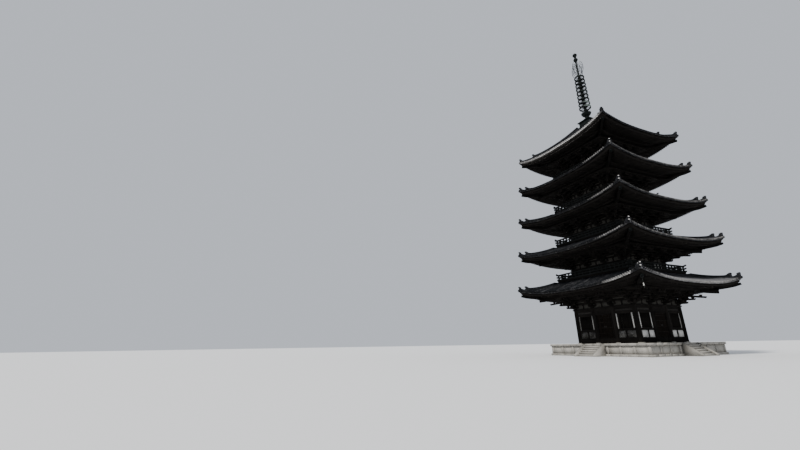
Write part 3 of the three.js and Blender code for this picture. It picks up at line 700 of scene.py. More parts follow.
# How much painted light pales the roofs' edges, from the lowest storey up: the east tiles near their eave,
# the pans' front plates against the end tiles beside them, and from the second storey the east end tiles
EAST_EAVE_PALENESS = (1.0, 0.15, 0.05, 0.0, -0.3)
FRONT_PALENESS = (0.6, 0.0, 0.0, 0.0, 0.6)
EAST_END_PALENESS = (0.4, 0.34, 0.32, 0.0)


def tile_rows(storey):
    """How many rows a side has, and their pitch."""
    rows = 2 * round(storey.eave_half / TILE_PITCH)
    return rows, 2 * storey.eave_half / rows


def tile_field(storey, side):
    """The tiles of one side, closed below.

    Point (s, h) lies at s along the side and h out from the axis. Its level is the roof's, plus the row's
    outline at s, plus a step that grows down each course. h never falls below |s|, which ends each row at the
    hip. Painted light makes the east side the palest, most of all at its eave, and painted shade darkens the
    south side.
    """
    rows, pitch = tile_rows(storey)
    s = ((np.arange(rows)[:, None] + ACROSS) * pitch).ravel() - storey.eave_half
    s = np.append(s, storey.eave_half)
    rise = np.append(np.tile(RISE, rows), RISE[0])
    inner = storey.inner_half
    courses = int(np.ceil((storey.eave_half - inner) / TILE_COURSE))
    ends = np.maximum(storey.eave_half - TILE_COURSE * np.arange(courses + 1), inner)

    # Each course has a line at its low and its high end, and three lines run back under the tiles
    h = np.concatenate([np.repeat(ends, 2)[1:-1], np.linspace(inner, storey.eave_half, 3)])
    step = np.concatenate([np.tile([COURSE_STEP, 0.0], courses), np.zeros(3)])
    under = np.arange(len(h)) >= 2 * courses
    grid_h = np.maximum(h[None], np.abs(s)[:, None])
    t = s[:, None] / grid_h
    at_hip = np.abs(s)[:, None] >= h[None]
    relief = np.where(at_hip, 0.0, rise[:, None] + step[None] * (rise[:, None] > 0))
    z = storey.tile_level(grid_h, t) + np.where(under, -TILE_DEPTH, relief)
    rings = np.stack([np.broadcast_to(s[:, None], grid_h.shape), -grid_h, z], -1)[None]

    # Every tile has a tone by chance, and so has every row
    row = np.minimum((s + storey.eave_half) / pitch, rows - 0.01).astype(int)
    course = np.minimum(((storey.eave_half - h) / TILE_COURSE + 0.01 * (step == 0)).astype(int), courses)
    cover = (rise > 0).astype(int)
    chance = random.random((rows, courses + 1, 2)) + random.random((rows, 1, 1)) - 0.5
    tone = chance[row[:, None], course[None], cover[:, None]] * 0.6 + tile_paleness(storey, side, grid_h, t)
    return solid_faces(replace(skin(rings, rings, [0.5]), tone=tone.reshape(-1)))


def tile_paleness(storey, side, half, t):
    """What a side adds to its tiles' tone.

    The south side is the darkest, as painted shade. The east side grows paler out to its eave as painted
    light, and less so near its far corner.
    """
    if side == 0:
        return SOUTH_TILES
    if side == 1:
        near_eave = ramp(half, storey.eave_half - 2.4, 1.6) * (1 - 1.1 * ramp(t, 0.55, 0.4))
        return EAST_TILES + near_eave * EAST_EAVE_PALENESS[storey.index]
    return OTHER_TILES


def painted_eave_light(storey, side, s):
    """How pale the eave's face is at s along a side, from 0 to 1.

    It is palest all along the top roof's south side, and lower down only near the south-east corner. This
    paleness is painted sunlight.
    """
    along = s / storey.eave_half
    if side == 0 and storey.top:
        return (0.6 + 0.4 * ramp(along, -0.9, 1.0)) * ramp(-along, -1.0, 0.08)
    if side == 0:
        return 0.7 * ramp(along, 0.42, 0.18) * ramp(-along, -0.92, 0.06)
    if side == 1 and storey.ground:
        return 0.1 + 0.52 * ramp(along, -0.95, 0.35) * ramp(-along, -1.0, 0.4)
    return (EAST_END_PALENESS[storey.index - 1] if side == 1 else 0.12) + 0 * along


def marks(value, spreading=0.12):
    """The tone that gives the end tiles and end boards their painted light, with some chance in it."""
    return -0.45 + 1.05 * value + spreading * (random.random(len(value)) - 0.5)


def eave_ends(storey):
    """The round end tiles of the cover rows, and between them the pans' front plates, in shallow bows.

    An end tile is a short drum that narrows to its hollow face, by the sizes and distances out below.
    """
    rows, pitch = tile_rows(storey)
    s = (np.arange(rows) + 0.5) * pitch - storey.eave_half
    level = storey.tile_level(storey.eave_half, s / storey.eave_half)
    out = np.array([-0.12, 0.032, 0.032, 0.014])
    size = np.array([1.0, 1.0, 0.78, 0.7])
    paths = np.stack([
        np.broadcast_to(s[:, None], (rows, 4)),
        np.broadcast_to(-(storey.eave_half + out), (rows, 4)),
        np.broadcast_to((level + 0.002)[:, None], (rows, 4)),
    ], -1)
    between = (np.arange(rows - 1) + 1.0) * pitch - storey.eave_half
    t = between / storey.eave_half
    width = np.array([-0.1, -0.055, 0.0, 0.055, 0.1])
    sink = np.array([-0.08, -0.12, -0.135, -0.12, -0.08])
    bow = np.stack([
        between[:, None] + width,
        np.full((rows - 1, 5), -(storey.eave_half - 0.012)),
        storey.tile_level(storey.eave_half, t)[:, None] + sink,
    ], -1)
    parts = []
    for side in range(4):
        # The paleness of the end tiles and the fronts beside them is painted light
        pale = painted_eave_light(storey, side, s)
        discs = carry(paths, circle(END_RADIUS, 10), UP, np.broadcast_to(size, (rows, 4)), marks(pale, 0.25))
        fronts = carry(bow, rectangle(0.04, 0.15), tone=marks(pale[1:] * FRONT_PALENESS[storey.index]))
        parts.append(quarter(join([discs, fronts]), side))
    return join(parts)


def hip_point(storey, half):
    """A place on the south-east hip at a half width."""
    half = np.asarray(half, float)
    return np.stack([half, -half, storey.tile_level(half, 1.0)], -1)


# A ridge's outline on the right of its middle, from its foot over its stacked courses to its round top
RIDGE_HALF = np.array([
    [0.2, -0.14], [0.2, 0.1], [0.17, 0.1], [0.17, 0.125], [0.185, 0.125], [0.185, 0.19], [0.155, 0.19],
    [0.155, 0.215], [0.17, 0.215], [0.17, 0.28], [0.1, 0.285], [0.095, 0.33], [0.06, 0.375], [0.0, 0.39],
])
RIDGE_SECTION = np.concatenate([[[-0.2, -0.14]], RIDGE_HALF, (RIDGE_HALF * [-1, 1])[-2:0:-1]])
LOW_RIDGE_SECTION = RIDGE_SECTION * [0.9, 0.5]

# One end tile's outline for one side of the hip, as distances from its middle and levels over the tiles
HORNED_SIDE = [0.0, 0.26, 0.32, 0.29, 0.27, 0.27, 0.29, 0.27, 0.21, 0.18, 0.17, 0.12, 0.05, 0.0]
HORNED_HEIGHT = [-0.2, -0.2, -0.12, 0.02, 0.12, 0.22, 0.33, 0.42, 0.42, 0.48, 0.62, 0.65, 0.56, 0.54]


def ogre_tile(storey, half, size, mark):
    """The end tile of a ridge: a horned block square to the hip and a rod above it, and their boss and cap.

    The rod leans out from the hip and rises with the square of the way along it.
    """
    right = np.stack([HORNED_SIDE, HORNED_HEIGHT], 1)
    outline = np.concatenate([right, (right * [-1, 1])[-2:0:-1]]) * size
    foot = hip_point(storey, half)
    thick = np.array([-0.16, -0.12, 0.06, 0.1]) * size
    path = foot + thick[:, None] * CORNER_OUT
    shield = carry(path, outline, UP, np.array([[0.9, 1.0, 1.0, 0.86]]), RIDGE_TILES)
    reach = np.array([0.0, 0.05, 0.085, 0.1]) * size
    boss_path = foot + (0.07 + reach)[:, None] * CORNER_OUT + 0.17 * size * UP
    boss = carry(boss_path, circle(0.11 * size, 12), UP, np.array([[1.0, 0.95, 0.7, 0.3]]), mark)
    t = np.linspace(0, 1, 6)
    spout = foot + (-0.3 + 0.46 * t)[:, None] * size * CORNER_OUT + (0.44 + 0.14 * t**2)[:, None] * size * UP
    rod = carry(spout, circle(0.11 * size, 12), UP, np.array([[1, 1, 1, 1, 1.0, 1.1]]), RIDGE_TILES)
    ahead = spout[-1] - spout[-2]
    cap_path = spout[-1] + np.array([0.005, 0.012])[:, None] * ahead / np.linalg.norm(ahead)
    cap = carry(cap_path, circle(0.09 * size, 12), UP, tone=mark)
    return join([shield, rod]), join([boss, cap])


def ridges(storey):
    """The stacked ridge on each hip: high down to its step and low out to the corner, each with an end tile.

    A ridge is low under the deck above. Over its last 0.45 m its height grows with the 1.6th power of the way
    to its end tile. Returns the ridges, and apart from them the bosses and caps of their end tiles, which are
    pale only at the south-east corner, as a painted highlight.
    """
    step = storey.eave_half - (1.75 if storey.top else 0.9)
    start = storey.seat_half + 0.05 if storey.top else storey.next_wall_half + DECK_REACH - 0.25

    def rising(half, end, growth):
        tall = 1 + growth * ramp(half, end - 0.45, 0.45) ** 1.6
        if not storey.top:
            tall = tall * (0.45 + 0.55 * ramp(half, start + 0.25, 0.25))
        return np.stack([np.ones_like(half), tall], -1)[None, :, None]

    high_at, low_end = np.linspace(start, step, 22), storey.eave_half - 0.22
    low_at = np.linspace(step - 0.1, low_end, 14)
    high = carry(hip_point(storey, high_at), RIDGE_SECTION, size=rising(high_at, step, 0.6), tone=RIDGE_TILES)
    low_size = rising(low_at, low_end, 1.5)
    low = carry(hip_point(storey, low_at), LOW_RIDGE_SECTION, size=low_size, tone=RIDGE_TILES)
    marks_by_corner = []
    for corner in range(4):
        # A painted highlight: below the top storey, only the south-east corner's bosses and caps are pale
        mark = 0.3 if corner == 0 and not storey.top else -0.4
        step_end, step_marks = ogre_tile(storey, step + 0.02, 1.0, mark)
        tip_end, tip_marks = ogre_tile(storey, storey.eave_half - 0.2, 0.88, mark)
        marks_by_corner.append(quarter(join([step_marks, tip_marks]), corner))
    return all_round(high, low, step_end, tip_end), join(marks_by_corner)


# Eaves

BASE_RAFTER, FLYING_RAFTER = (0.12, 0.15), (0.105, 0.13)
RAFTER_PITCH = 0.27
# How far the upper hip rafter's nose stops before the corner, and how far it hangs below the flying rafters
HIP_NOSE_INSET, HIP_DROP = 0.28, 0.38


def soffit(storey):
    """Boards over the rafters and the layers of the eave's edge, as one stepped ring under the tiles."""

    def raised(half, level):
        return half, lambda t: level + storey.lift(half, t)

    def under_tiles(half, gap):
        return half, lambda t: storey.tile_level(half, t) - gap

    base, flying, edge = storey.base_tip, storey.flying_tip, storey.eave_half
    inner = storey.wall_half - 0.2
    rise, flying_rise = BASE_RAFTER[1], FLYING_RAFTER[1]
    return square_ring([
        raised(inner, storey.rafter_level(inner) + rise),
        raised(base - 0.12, storey.rafter_level(base - 0.12) + rise),
        raised(base - 0.12, storey.rafter_level(base) + 0.13),
        raised(base + 0.02, storey.rafter_level(base) + 0.13),
        raised(base + 0.02, storey.flying_level(base) + flying_rise),
        raised(flying - 0.14, storey.flying_level(flying - 0.14) + flying_rise),
        raised(flying - 0.14, storey.flying_level(flying) + flying_rise - 0.005),
        raised(flying + 0.03, storey.flying_level(flying) + flying_rise - 0.005),
        raised(flying + 0.05, storey.eave_level - RAFTER_GAP),
        raised(flying + 0.15, storey.eave_level - RAFTER_GAP),
        under_tiles(flying + 0.19, 0.19),
        under_tiles(edge - 0.7, 0.22),
        under_tiles(edge - 2.6, 0.5),
        raised(inner, storey.rafter_level(inner) + rise + 0.1),
    ], EAVE_STATIONS)


def rafters_at(tip):
    """The places along a side of the rafters whose tips lie at a half width."""
    count = int((tip - 0.1) / RAFTER_PITCH)
    return (np.arange(-count, count) + 0.5) * RAFTER_PITCH


def rafters(storey):
    """Rows of base and flying rafters on one side. In the corner zone a rafter starts at the hip rafter."""
    parts = []
    layers = (
        (storey.wall_half + 0.1, storey.base_tip, storey.rafter_level, BASE_RAFTER),
        (storey.base_tip - 0.5, storey.flying_tip, storey.flying_level, FLYING_RAFTER),
    )
    for start, tip, level, (width, depth) in layers:
        s = rafters_at(tip)
        begin = np.maximum(start, np.abs(s) + 0.08)
        s, begin = s[begin < tip - 0.05], begin[begin < tip - 0.05]
        paths = np.stack([
            np.stack([s, -half, level(half) + storey.lift(half, s / half)], -1)
            for half in (begin, (begin + tip) / 2, np.full_like(s, tip))
        ], 1)
        parts.append(carry(paths, rectangle(width, depth, 0.0)))
    return join(parts)


def hip_rafter(storey):
    """The two hip rafters of the south-east corner. The lower one is deeper under the two lowest roofs.

    Over the last 0.35 m the upper one grows thinner towards its nose, which goes into its shoe.
    """

    def along(half, level):
        half = np.asarray(half, float)
        return np.stack([half, -half, level + storey.lift(half, 1.0)], -1)

    drop = 0.62 if storey.index < 2 else 0.36
    lower_half = np.linspace(storey.purlin_half - 0.6, storey.base_tip + 0.16, 8)
    underside = storey.rafter_level(lower_half) - drop
    lower = carry(along(lower_half, underside), rectangle(0.26, drop + 0.14, 0.0), tone=-0.5)
    upper_half = np.linspace(storey.base_tip - 0.5, storey.eave_half - HIP_NOSE_INSET, 12)
    nose = ramp(upper_half, storey.flying_tip - 0.35, 0.35)
    size = np.stack([np.ones(12), 1 - 0.46 * nose], -1)[None, :, None]
    underside = storey.flying_level(upper_half) - HIP_DROP + 0.08 * nose
    upper = carry(along(upper_half, underside), rectangle(0.26, 0.48, 0.0), size=size, tone=-0.5)
    return join([lower, upper])


def hip_shoes(storey):
    """The bronze shoe on the nose of the south-east corner's upper hip rafter."""
    half = storey.eave_half - HIP_NOSE_INSET
    level = storey.flying_level(half) - HIP_DROP + 0.065
    nose = np.array([half - 0.22, half + 0.015])
    path = np.stack([nose, -nose, level + storey.lift(nose, 1.0)], -1)
    return carry(path, rectangle(0.28, 0.29, 0.0), tone=-0.6)


def edge_beams(storey):
    """The beams that lie on the rafters' tips: one on the base rafters and one on the flying rafters."""

    def ring(half, width, level, height):
        def at(reach, up):
            return reach, lambda t: level + up + storey.lift(half, t)

        outer = half + width
        return square_ring([at(half, 0), at(outer, 0), at(outer, height), at(half, height)], EAVE_STATIONS)

    base, flying = storey.base_tip, storey.flying_tip
    lower = ring(base - 0.14, 0.13, storey.rafter_level(base) + BASE_RAFTER[1], 0.12)
    upper = ring(flying - 0.15, 0.16, storey.flying_level(flying) + FLYING_RAFTER[1], 0.13)
    return join([lower, upper])


def eave_face(storey):
    """Thin boards on the eave's two edge beams, and the flying rafters' ends. The top storey's are pale with
    painted sunlight.
    """
    tip, level = storey.flying_tip, storey.flying_level(storey.flying_tip)
    s = rafters_at(tip)
    s = s[np.abs(s) < tip - 0.13]
    width, depth = FLYING_RAFTER
    ends = np.stack([
        np.stack([s, np.full_like(s, -half), level + storey.lift(tip, s / tip)], -1)
        for half in (tip - 0.002, tip + 0.014)
    ], 1)
    boards = (
        (tip + 0.012, level + depth + 0.005, 0.12, 0.1),
        (tip + 0.19, storey.eave_level - 0.015, 0.115, 0.25),
    )
    t = EAVE_STATIONS[1:-1]
    parts = []
    for side in range(4):
        pale = painted_eave_light(storey, side, s) * (0.3 if storey.top else 0.0)
        faces = [carry(ends, rectangle(width, depth, 0.0), tone=marks(pale))]
        for half, low, height, share in boards:
            line = np.stack([t * half, np.full_like(t, -half), low + storey.lift(half, t)], -1)
            shade = painted_eave_light(storey, side, np.zeros(1)) * (share if storey.top else 0.0)
            faces.append(carry(line, rectangle(0.012, height, 0.0), tone=marks(shade, 0.0)))
        parts.append(quarter(join(faces), side))
    return join(parts)


def wind_bell(storey):
    """The cast bell on its long hook under the south-east corner, with its clapper rod and wind plate."""
    half, top, mouth = storey.eave_half - 0.44, storey.eave_level - 0.3, storey.eave_level - 0.6
    hang = storey.flying_level(half) - HIP_DROP + storey.lift(half, 1.0) + 0.05
    middle = (half, -half)
    profile = [
        (0.0, top), (0.022, top), (0.043, top - 0.03), (0.053, top - 0.1), (0.06, top - 0.21), (0.077, mouth),
        (0.065, mouth), (0.043, top - 0.16), (0.0, top - 0.08),
    ]

    def wire(radius, low, high):
        return turned([(0.0, low), (radius, low), (radius, high), (0.0, high)], 8, middle, -0.4)

    bell = turned(profile[::-1], 20, middle, 0.5)
    hook, rod = wire(0.014, top - 0.02, hang), wire(0.012, mouth - 0.1, top - 0.15)
    out = half * math.sqrt(2)
    foot, head = mouth - 0.22, mouth - 0.08
    fan = [(out - 0.08, foot), (out + 0.08, foot), (out + 0.05, head), (out - 0.05, head)]
    return join([bell, hook, rod, plates(fan, [0.0], 0.012, CORNER_ALONG, -0.4)])


# Brackets

ARM_CURVE = 0.16
# Widths and heights of the bearing blocks, the heights in bracket units
COLUMN_BLOCK, STEP_BLOCK, CROSS_BLOCK = (0.56, 0.34), (0.3, 0.2), (0.27, 0.2)
CROSS_REACH, CROSS_HEIGHT, CROSS_WIDTH = 0.68, 0.22, 0.19
CROSS_BLOCKS_AT = (-0.48, 0.0, 0.48)


def arm_profile(start, end, low, high):
    """A bracket arm seen from its side. A quarter of an ellipse rounds its outer end up from below."""
    turn = np.linspace(0, 1, 4) * math.pi / 2
    out, up = end - ARM_CURVE * (1 - np.sin(turn)), low + (high - low) * 0.62 * (1 - np.cos(turn))
    return np.concatenate([[[start, low]], np.stack([out, up], 1), [[end, high], [start, high]]])


def cross_arm(reach, low, high):
    """An arm along the wall, with both ends rounded up, as (along, up) points."""
    right = arm_profile(0.0, reach, low, high)[1:-1]
    return np.concatenate([right, (right * [-1, 1])[::-1]])


def carried_arms(centres, out, low, high, along):
    """Cross arms at each centre along the wall and a distance out."""
    outward = np.array([along[1], -along[0], 0.0])
    outline = cross_arm(CROSS_REACH, low, high)
    base = centres[:, None] * along + out * outward
    ends = np.array([-CROSS_WIDTH / 2, CROSS_WIDTH / 2])
    flat = outline[:, :1] * along + outline[:, 1:] * UP
    rings = base[:, None, None] - ends[None, :, None, None] * outward + flat[None, None]
    tone = random.random(len(centres))
    grain = np.concatenate([outline, outline[:, :1] * 0], 1) + (tone * GRAIN_SHIFT)[:, None, None, None]
    return skin(rings, np.broadcast_to(grain, rings.shape), tone)


def bracket_set(storey, centres, along=ALONG, stretch_out=1.0, cross=True):
    """Three-stepped brackets at each centre: blocks, arms outward and along the wall, and a tail rafter.

    A corner's set is stretched outward by the square root of 2, and has no arms along the wall.
    """
    wall, level = storey.wall_half * stretch_out, storey.bracket_level
    outward = np.array([along[1], -along[0], 0.0])
    centres = np.asarray(centres, float)

    def blocks_at(out, low, width, height, aside=(0.0,)):
        places = (centres[:, None] + np.asarray(aside)).ravel()
        if out == 0:
            # The next side's set holds the block on the corner column
            places = places[np.abs(places - storey.wall_half) > 0.01]
        base = places[:, None] * along + (wall + out * stretch_out) * outward + level(low) * UP
        return blocks(base, width, height * storey.bracket_unit, along)

    def outward_arm(start, end, low, high):
        outline = arm_profile(wall - start, wall + end * stretch_out, level(low), level(high))
        return plates(outline, centres, 0.2, along)

    first, second, third = STEPS_OUT
    nose = [(1.3, 1.0), (2.32, 0.82), (2.4, 1.02), (1.35, 1.24)]
    tail = [(wall + out * stretch_out, level(up)) for out, up in nose]
    tail = [(wall + 0.1, level(1.5)), *tail, (wall + 0.1, level(1.78))]
    parts = [
        blocks_at(0.0, 0.0, *COLUMN_BLOCK),
        outward_arm(0.3, 0.86, 0.2, 0.44),
        blocks_at(first, 0.44, *STEP_BLOCK),
        outward_arm(0.2, 1.5, 0.64, 0.86),
        blocks_at(second, 0.86, *STEP_BLOCK),
        plates(tail, centres, 0.22, along),
        blocks_at(third, 1.1, *STEP_BLOCK),
    ]
    if cross:
        for out, low in ((0.0, 0.2), (first, 0.64), (second, 1.06), (third, 1.3)):
            top = low + CROSS_HEIGHT
            parts.append(carried_arms(centres, wall + out, level(low), level(top), along))
            parts.append(blocks_at(out, top, *CROSS_BLOCK, CROSS_BLOCKS_AT))
    return join(parts)


def bracket_timber(storey):
    """Brackets at every column and corner, beams through them, struts, the purlin, and the ribbed cove."""
    wall, bay, rise, level = storey.wall_half, storey.bay_half, storey.bracket_unit, storey.bracket_level
    first, second, third = STEPS_OUT

    def ring_beam(out, low, width, height):
        return square_tube(wall + out - width / 2, wall + out + width / 2, level(low), level(low) + height)

    def outline(points):
        return [(wall + out, level(up)) for out, up in points]

    inner = bracket_set(storey, [-bay, bay])
    ends = bracket_set(storey, [-wall, wall])
    corner = bracket_set(storey, [0.0], CORNER_ALONG, math.sqrt(2), cross=False)
    middles = np.array([-storey.window_at, 0.0, storey.window_at])
    struts = plates(outline([(0.0, 0.0), (0.13, 0.0), (0.1, 0.44), (0.0, 0.44)]), middles, 0.2)
    caps_at = np.stack([middles, np.full(3, -wall - 0.02), np.full(3, level(0.42))], 1)
    caps = blocks(caps_at, STEP_BLOCK[0], STEP_BLOCK[1] * rise)
    rib_pitch = 0.24
    ribs_at = np.arange(-math.floor(wall / rib_pitch), math.floor(wall / rib_pitch) + 1) * rib_pitch
    rib = outline([(1.38, 1.38), (1.64, 1.45), (1.86, 1.7), (1.82, 1.72), (1.6, 1.5), (1.36, 1.44)])
    ribs = plates(rib, ribs_at, 0.05)
    bars_at = wall + np.array([0.82, 0.98, 1.14])
    ceiling_bars = beam(-wall - 1.0, wall + 1.0, bars_at, level(1.47), rectangle(0.04, 0.05))
    body = [
        square_tube(wall - 0.3, wall + 0.3, storey.head_level, storey.plate_top),
        square_tube(wall - 0.09, wall + 0.06, storey.plate_top, storey.rafter_level(wall + 0.1) - 0.02),
        ring_beam(0.0, 0.64, 0.24, 0.22 * rise),
        ring_beam(0.0, 1.06, 0.24, 0.22 * rise),
        ring_beam(0.0, 1.48, 0.24, 0.3 * rise),
        ring_beam(first, 1.06, 0.2, 0.2 * rise),
        ring_beam(second, 1.3, 0.2, 0.2 * rise),
        ring_beam(third, 1.72, 0.24, 0.38 * rise - 0.03),
    ]
    cove = square_loop(outline([
        (0.6, 1.5), (1.36, 1.5), (1.62, 1.58), (1.84, 1.8),
        (1.84, 1.86), (1.6, 1.64), (1.36, 1.54), (0.6, 1.54),
    ]))
    return join([all_round(inner, ends, corner, struts, caps, ribs, ceiling_bars), cove, *body])


def bracket_plaster(storey):
    """White plaster between the struts and brackets, in three tiers on the wall's plane, darkened all over as
    painted shade.
    """
    wall, level = storey.wall_half, storey.bracket_level
    tiers = ((0.02, 0.62), (0.86, 1.05), (1.28, 1.47))
    return join([square_tube(wall + 0.05, wall + 0.08, level(low), level(high)) for low, high in tiers])


# Walls

FRAME_REACH = 0.15
DOOR_HALF, DOOR_GAP, DOOR_INSET = 1.06, 0.014, 0.035
DOOR_LOW, DOOR_HIGH = SILL_TOP + DOOR_GAP, WINDOW_HIGH - DOOR_GAP
LEDGE_LEVELS = DOOR_LOW + np.array([0.12, 0.62, 1.3, 1.98, 2.6, 2.86])

# How bright painted light and shade leave the ground storey's plaster, from 0 to 1: each side's four strips
# and its four panels under the windows, from left to right, and the band above the lintel, in painted shade
PLASTER_PAINTED_LIGHT = {
    "south": ((0.25, 0.45, 0.8, 0.8), (0.1, 0.1, 0.18, 0.14), -0.4),
    "east": ((0.85, 1.0, 0.3, 0.45), (0.85, 0.9, 0.85, 0.85), -0.4),
    "north": ((0.6, 0.7, 0.6, 0.5), (0.4, 0.5, 0.4, 0.5), -0.4),
    "west": ((0.5, 0.6, 0.7, 0.6), (0.5, 0.4, 0.5, 0.4), -0.4),
}


def bay_spans(storey):
    """The three bays' clear spans between columns, as (from, to)."""
    wall, bay, radius = storey.wall_half, storey.bay_half, storey.column_radius
    return [(-wall + radius, -bay - radius), (-bay + radius, bay - radius), (bay + radius, wall - radius)]


def wall_beams(x0, x1, wall, rows, bevel):
    """Bevelled beams between two columns, from rows of (underside, top, depth)."""
    return [
        beam(x0, x1, wall, (low + high) / 2, chamfered(depth, high - low, bevel)) for low, high, depth in rows
    ]


def ground_walls():
    """The ground storey's timber: columns, sill, waist rail, lintel, ties and the frames of its windows.

    Returns the timber, and apart from it the round stones under the columns.
    """
    storey = STOREYS[0]
    wall, bay, radius = storey.wall_half, storey.bay_half, storey.column_radius
    parts = [uprights([-wall, -bay, bay], -wall, PODIUM_TOP, storey.head_level, circle(radius, 24))]
    feet = uprights([-wall, -bay, bay], -wall, PODIUM_TOP, PODIUM_TOP + 0.1, circle(radius + 0.1, 24), 0.9)
    rows = (
        (PODIUM_TOP, SILL_TOP, 0.34), (PANEL_TOP, WINDOW_LOW, 0.34), (WINDOW_HIGH, LINTEL_TOP, 0.34),
        (TIE_LOW, TIE_TOP, 0.3),
    )
    hole, frame_levels = storey.window_half, (WINDOW_LOW, WINDOW_HIGH)
    for x0, x1 in (bay_spans(storey)[0], bay_spans(storey)[2]):
        middle = (x0 + x1) / 2
        outward = 1 if middle > 0 else -1
        parts.append(uprights(outward * 4.1, -wall, SILL_TOP, WINDOW_HIGH, rectangle(0.1, 0.2)))
        parts += wall_beams(x0 - 0.06, x1 + 0.06, wall, rows, 0.012)
        parts.append(uprights(outward * 2.83, -wall, SILL_TOP, PANEL_TOP, rectangle(0.2, 0.24)))
        parts.append(uprights(middle + outward * (hole + 0.04), -wall, *frame_levels, rectangle(0.09, 0.18)))
        parts.append(uprights(middle - outward * (hole + 0.105), -wall, *frame_levels, rectangle(0.21, 0.18)))
        for level in (WINDOW_LOW + 0.04, WINDOW_HIGH - 0.04):
            parts.append(beam(middle - hole, middle + hole, wall, level, rectangle(0.2, 0.08)))
    parts += wall_beams(-bay + radius - 0.06, bay - radius + 0.06, wall, [(TIE_LOW, TIE_TOP, 0.34)], 0.012)
    return all_round(*parts), all_round(feet)


def ground_plaster():
    """Panels under the windows, strips beside them, and the band between lintel and tie, each toned with
    painted light and shade.
    """
    storey = STOREYS[0]
    strip_levels, panel_levels = (WINDOW_LOW, WINDOW_HIGH), (SILL_TOP, PANEL_TOP)
    parts = []
    for turns, side in enumerate(SIDES):
        strips, panels, band = PLASTER_PAINTED_LIGHT[side]
        made = []
        for first, (x0, x1) in ((0, bay_spans(storey)[0]), (2, bay_spans(storey)[2])):
            x0, middle, x1 = x0 - 0.05, (x0 + x1) / 2, x1 + 0.05
            for span, levels, brightness in (
                ((x0, middle - 0.9), strip_levels, strips[first]),
                ((middle + 0.9, x1), strip_levels, strips[first + 1]),
                ((x0, middle), panel_levels, panels[first]),
                ((middle, x1), panel_levels, panels[first + 1]),
                ((x0, x1), (LINTEL_TOP, TIE_LOW), band),
            ):
                made.append(slab(span, storey.plaster_face, levels, tone=1.35 * brightness - 0.5))
        parts.append(quarter(join(made), turns))
    return join(parts)


def window_bars(storey):
    """Upright bars set cornerwise in the windows of each side. In the upper storeys their ends are let in."""
    pitch, corner = 0.115, 0.076 / math.sqrt(2)
    let_in = 0.0 if storey.ground else 0.02
    count = int(2 * storey.window_half / pitch)
    offsets = (np.arange(count) - (count - 1) / 2) * pitch
    x = (np.array([[-storey.window_at], [storey.window_at]]) + offsets).ravel()
    diamond = np.array([[0, -corner], [corner, 0], [0, corner], [-corner, 0]])
    return all_round(uprights(x, -storey.wall_half, storey.sill - let_in, storey.lintel + let_in, diamond))


def doorway_trim():
    """Mouldings on the ground doorways' frames."""
    face, head_level = STOREYS[0].wall_half + FRAME_REACH, WINDOW_HIGH + 0.05
    sides = uprights([-1.12, 1.12], -face - 0.015, SILL_TOP, head_level, rectangle(0.1, 0.05))
    head = beam(-1.17, 1.17, face + 0.015, head_level, rectangle(0.05, 0.1))
    return all_round(sides, head)


def door_leaf(hand):
    """A south leaf: upright planks with open joints, ledges across them, and its pins."""
    outer = STOREYS[0].wall_half + FRAME_REACH - DOOR_INSET
    edge, meet = DOOR_HALF - DOOR_GAP, 0.009
    count, depth = 5, 0.06
    width = (edge - meet) / count
    x = hand * (meet + (np.arange(count) + 0.5) * width)
    section = chamfered(width - 0.004, depth, 0.008)
    planks = uprights(x, -(outer - 0.015 - depth / 2), DOOR_LOW, DOOR_HIGH, section)
    x0, x1 = sorted((hand * meet, hand * edge))
    ledges = beam(x0, x1, outer - 0.012, LEDGE_LEVELS, chamfered(0.024, 0.13, 0.006))
    back = beam(x0, x1, outer - 0.082, LEDGE_LEVELS[1::2], rectangle(0.016, 0.12))
    pin_low, pin_high = [SILL_TOP - 0.059, DOOR_HIGH - 0.03], [DOOR_LOW + 0.03, WINDOW_HIGH + 0.059]
    pins = uprights(hand * (edge - 0.03), -outer, pin_low, pin_high, circle(0.021, 12))
    return join([planks, ledges, back, pins])


def door_studs(hand):
    """Domed nail covers on a leaf's ledges, and a ring plate near its meeting edge."""
    outer = STOREYS[0].wall_half + FRAME_REACH - DOOR_INSET
    across = hand * (0.12 + np.arange(5) * 0.205)
    x, z = (places.ravel()[:, None] for places in np.meshgrid(across, LEDGE_LEVELS))
    shape = (len(x), 4)
    out = np.array([0.0, 0.008, 0.014, 0.017]) - 0.002
    size = np.array([1.0, 0.9, 0.6, 0.25])
    paths = np.stack([np.broadcast_to(axis, shape) for axis in (x, -(outer + out), z)], -1)
    domes = carry(paths, circle(0.036, 10), UP, np.broadcast_to(size, shape))
    plate_x, plate_level = hand * 0.1, 3.62
    plate_path = [[plate_x, -(outer - 0.016), plate_level], [plate_x, -(outer + 0.004), plate_level]]
    plate = carry(plate_path, circle(0.075, 16), tone=0.5)
    angle = np.arange(16) / 16 * 2 * math.pi
    swing = 0.055 * np.stack([np.sin(angle), 0 * angle, np.cos(angle)], 1)
    loop = np.array([plate_x, -(outer + 0.012), 3.585]) + swing
    ring = carry(loop, circle(0.007, 6), OUT, tone=0.5, closed=True)
    return join([domes, plate, ring])


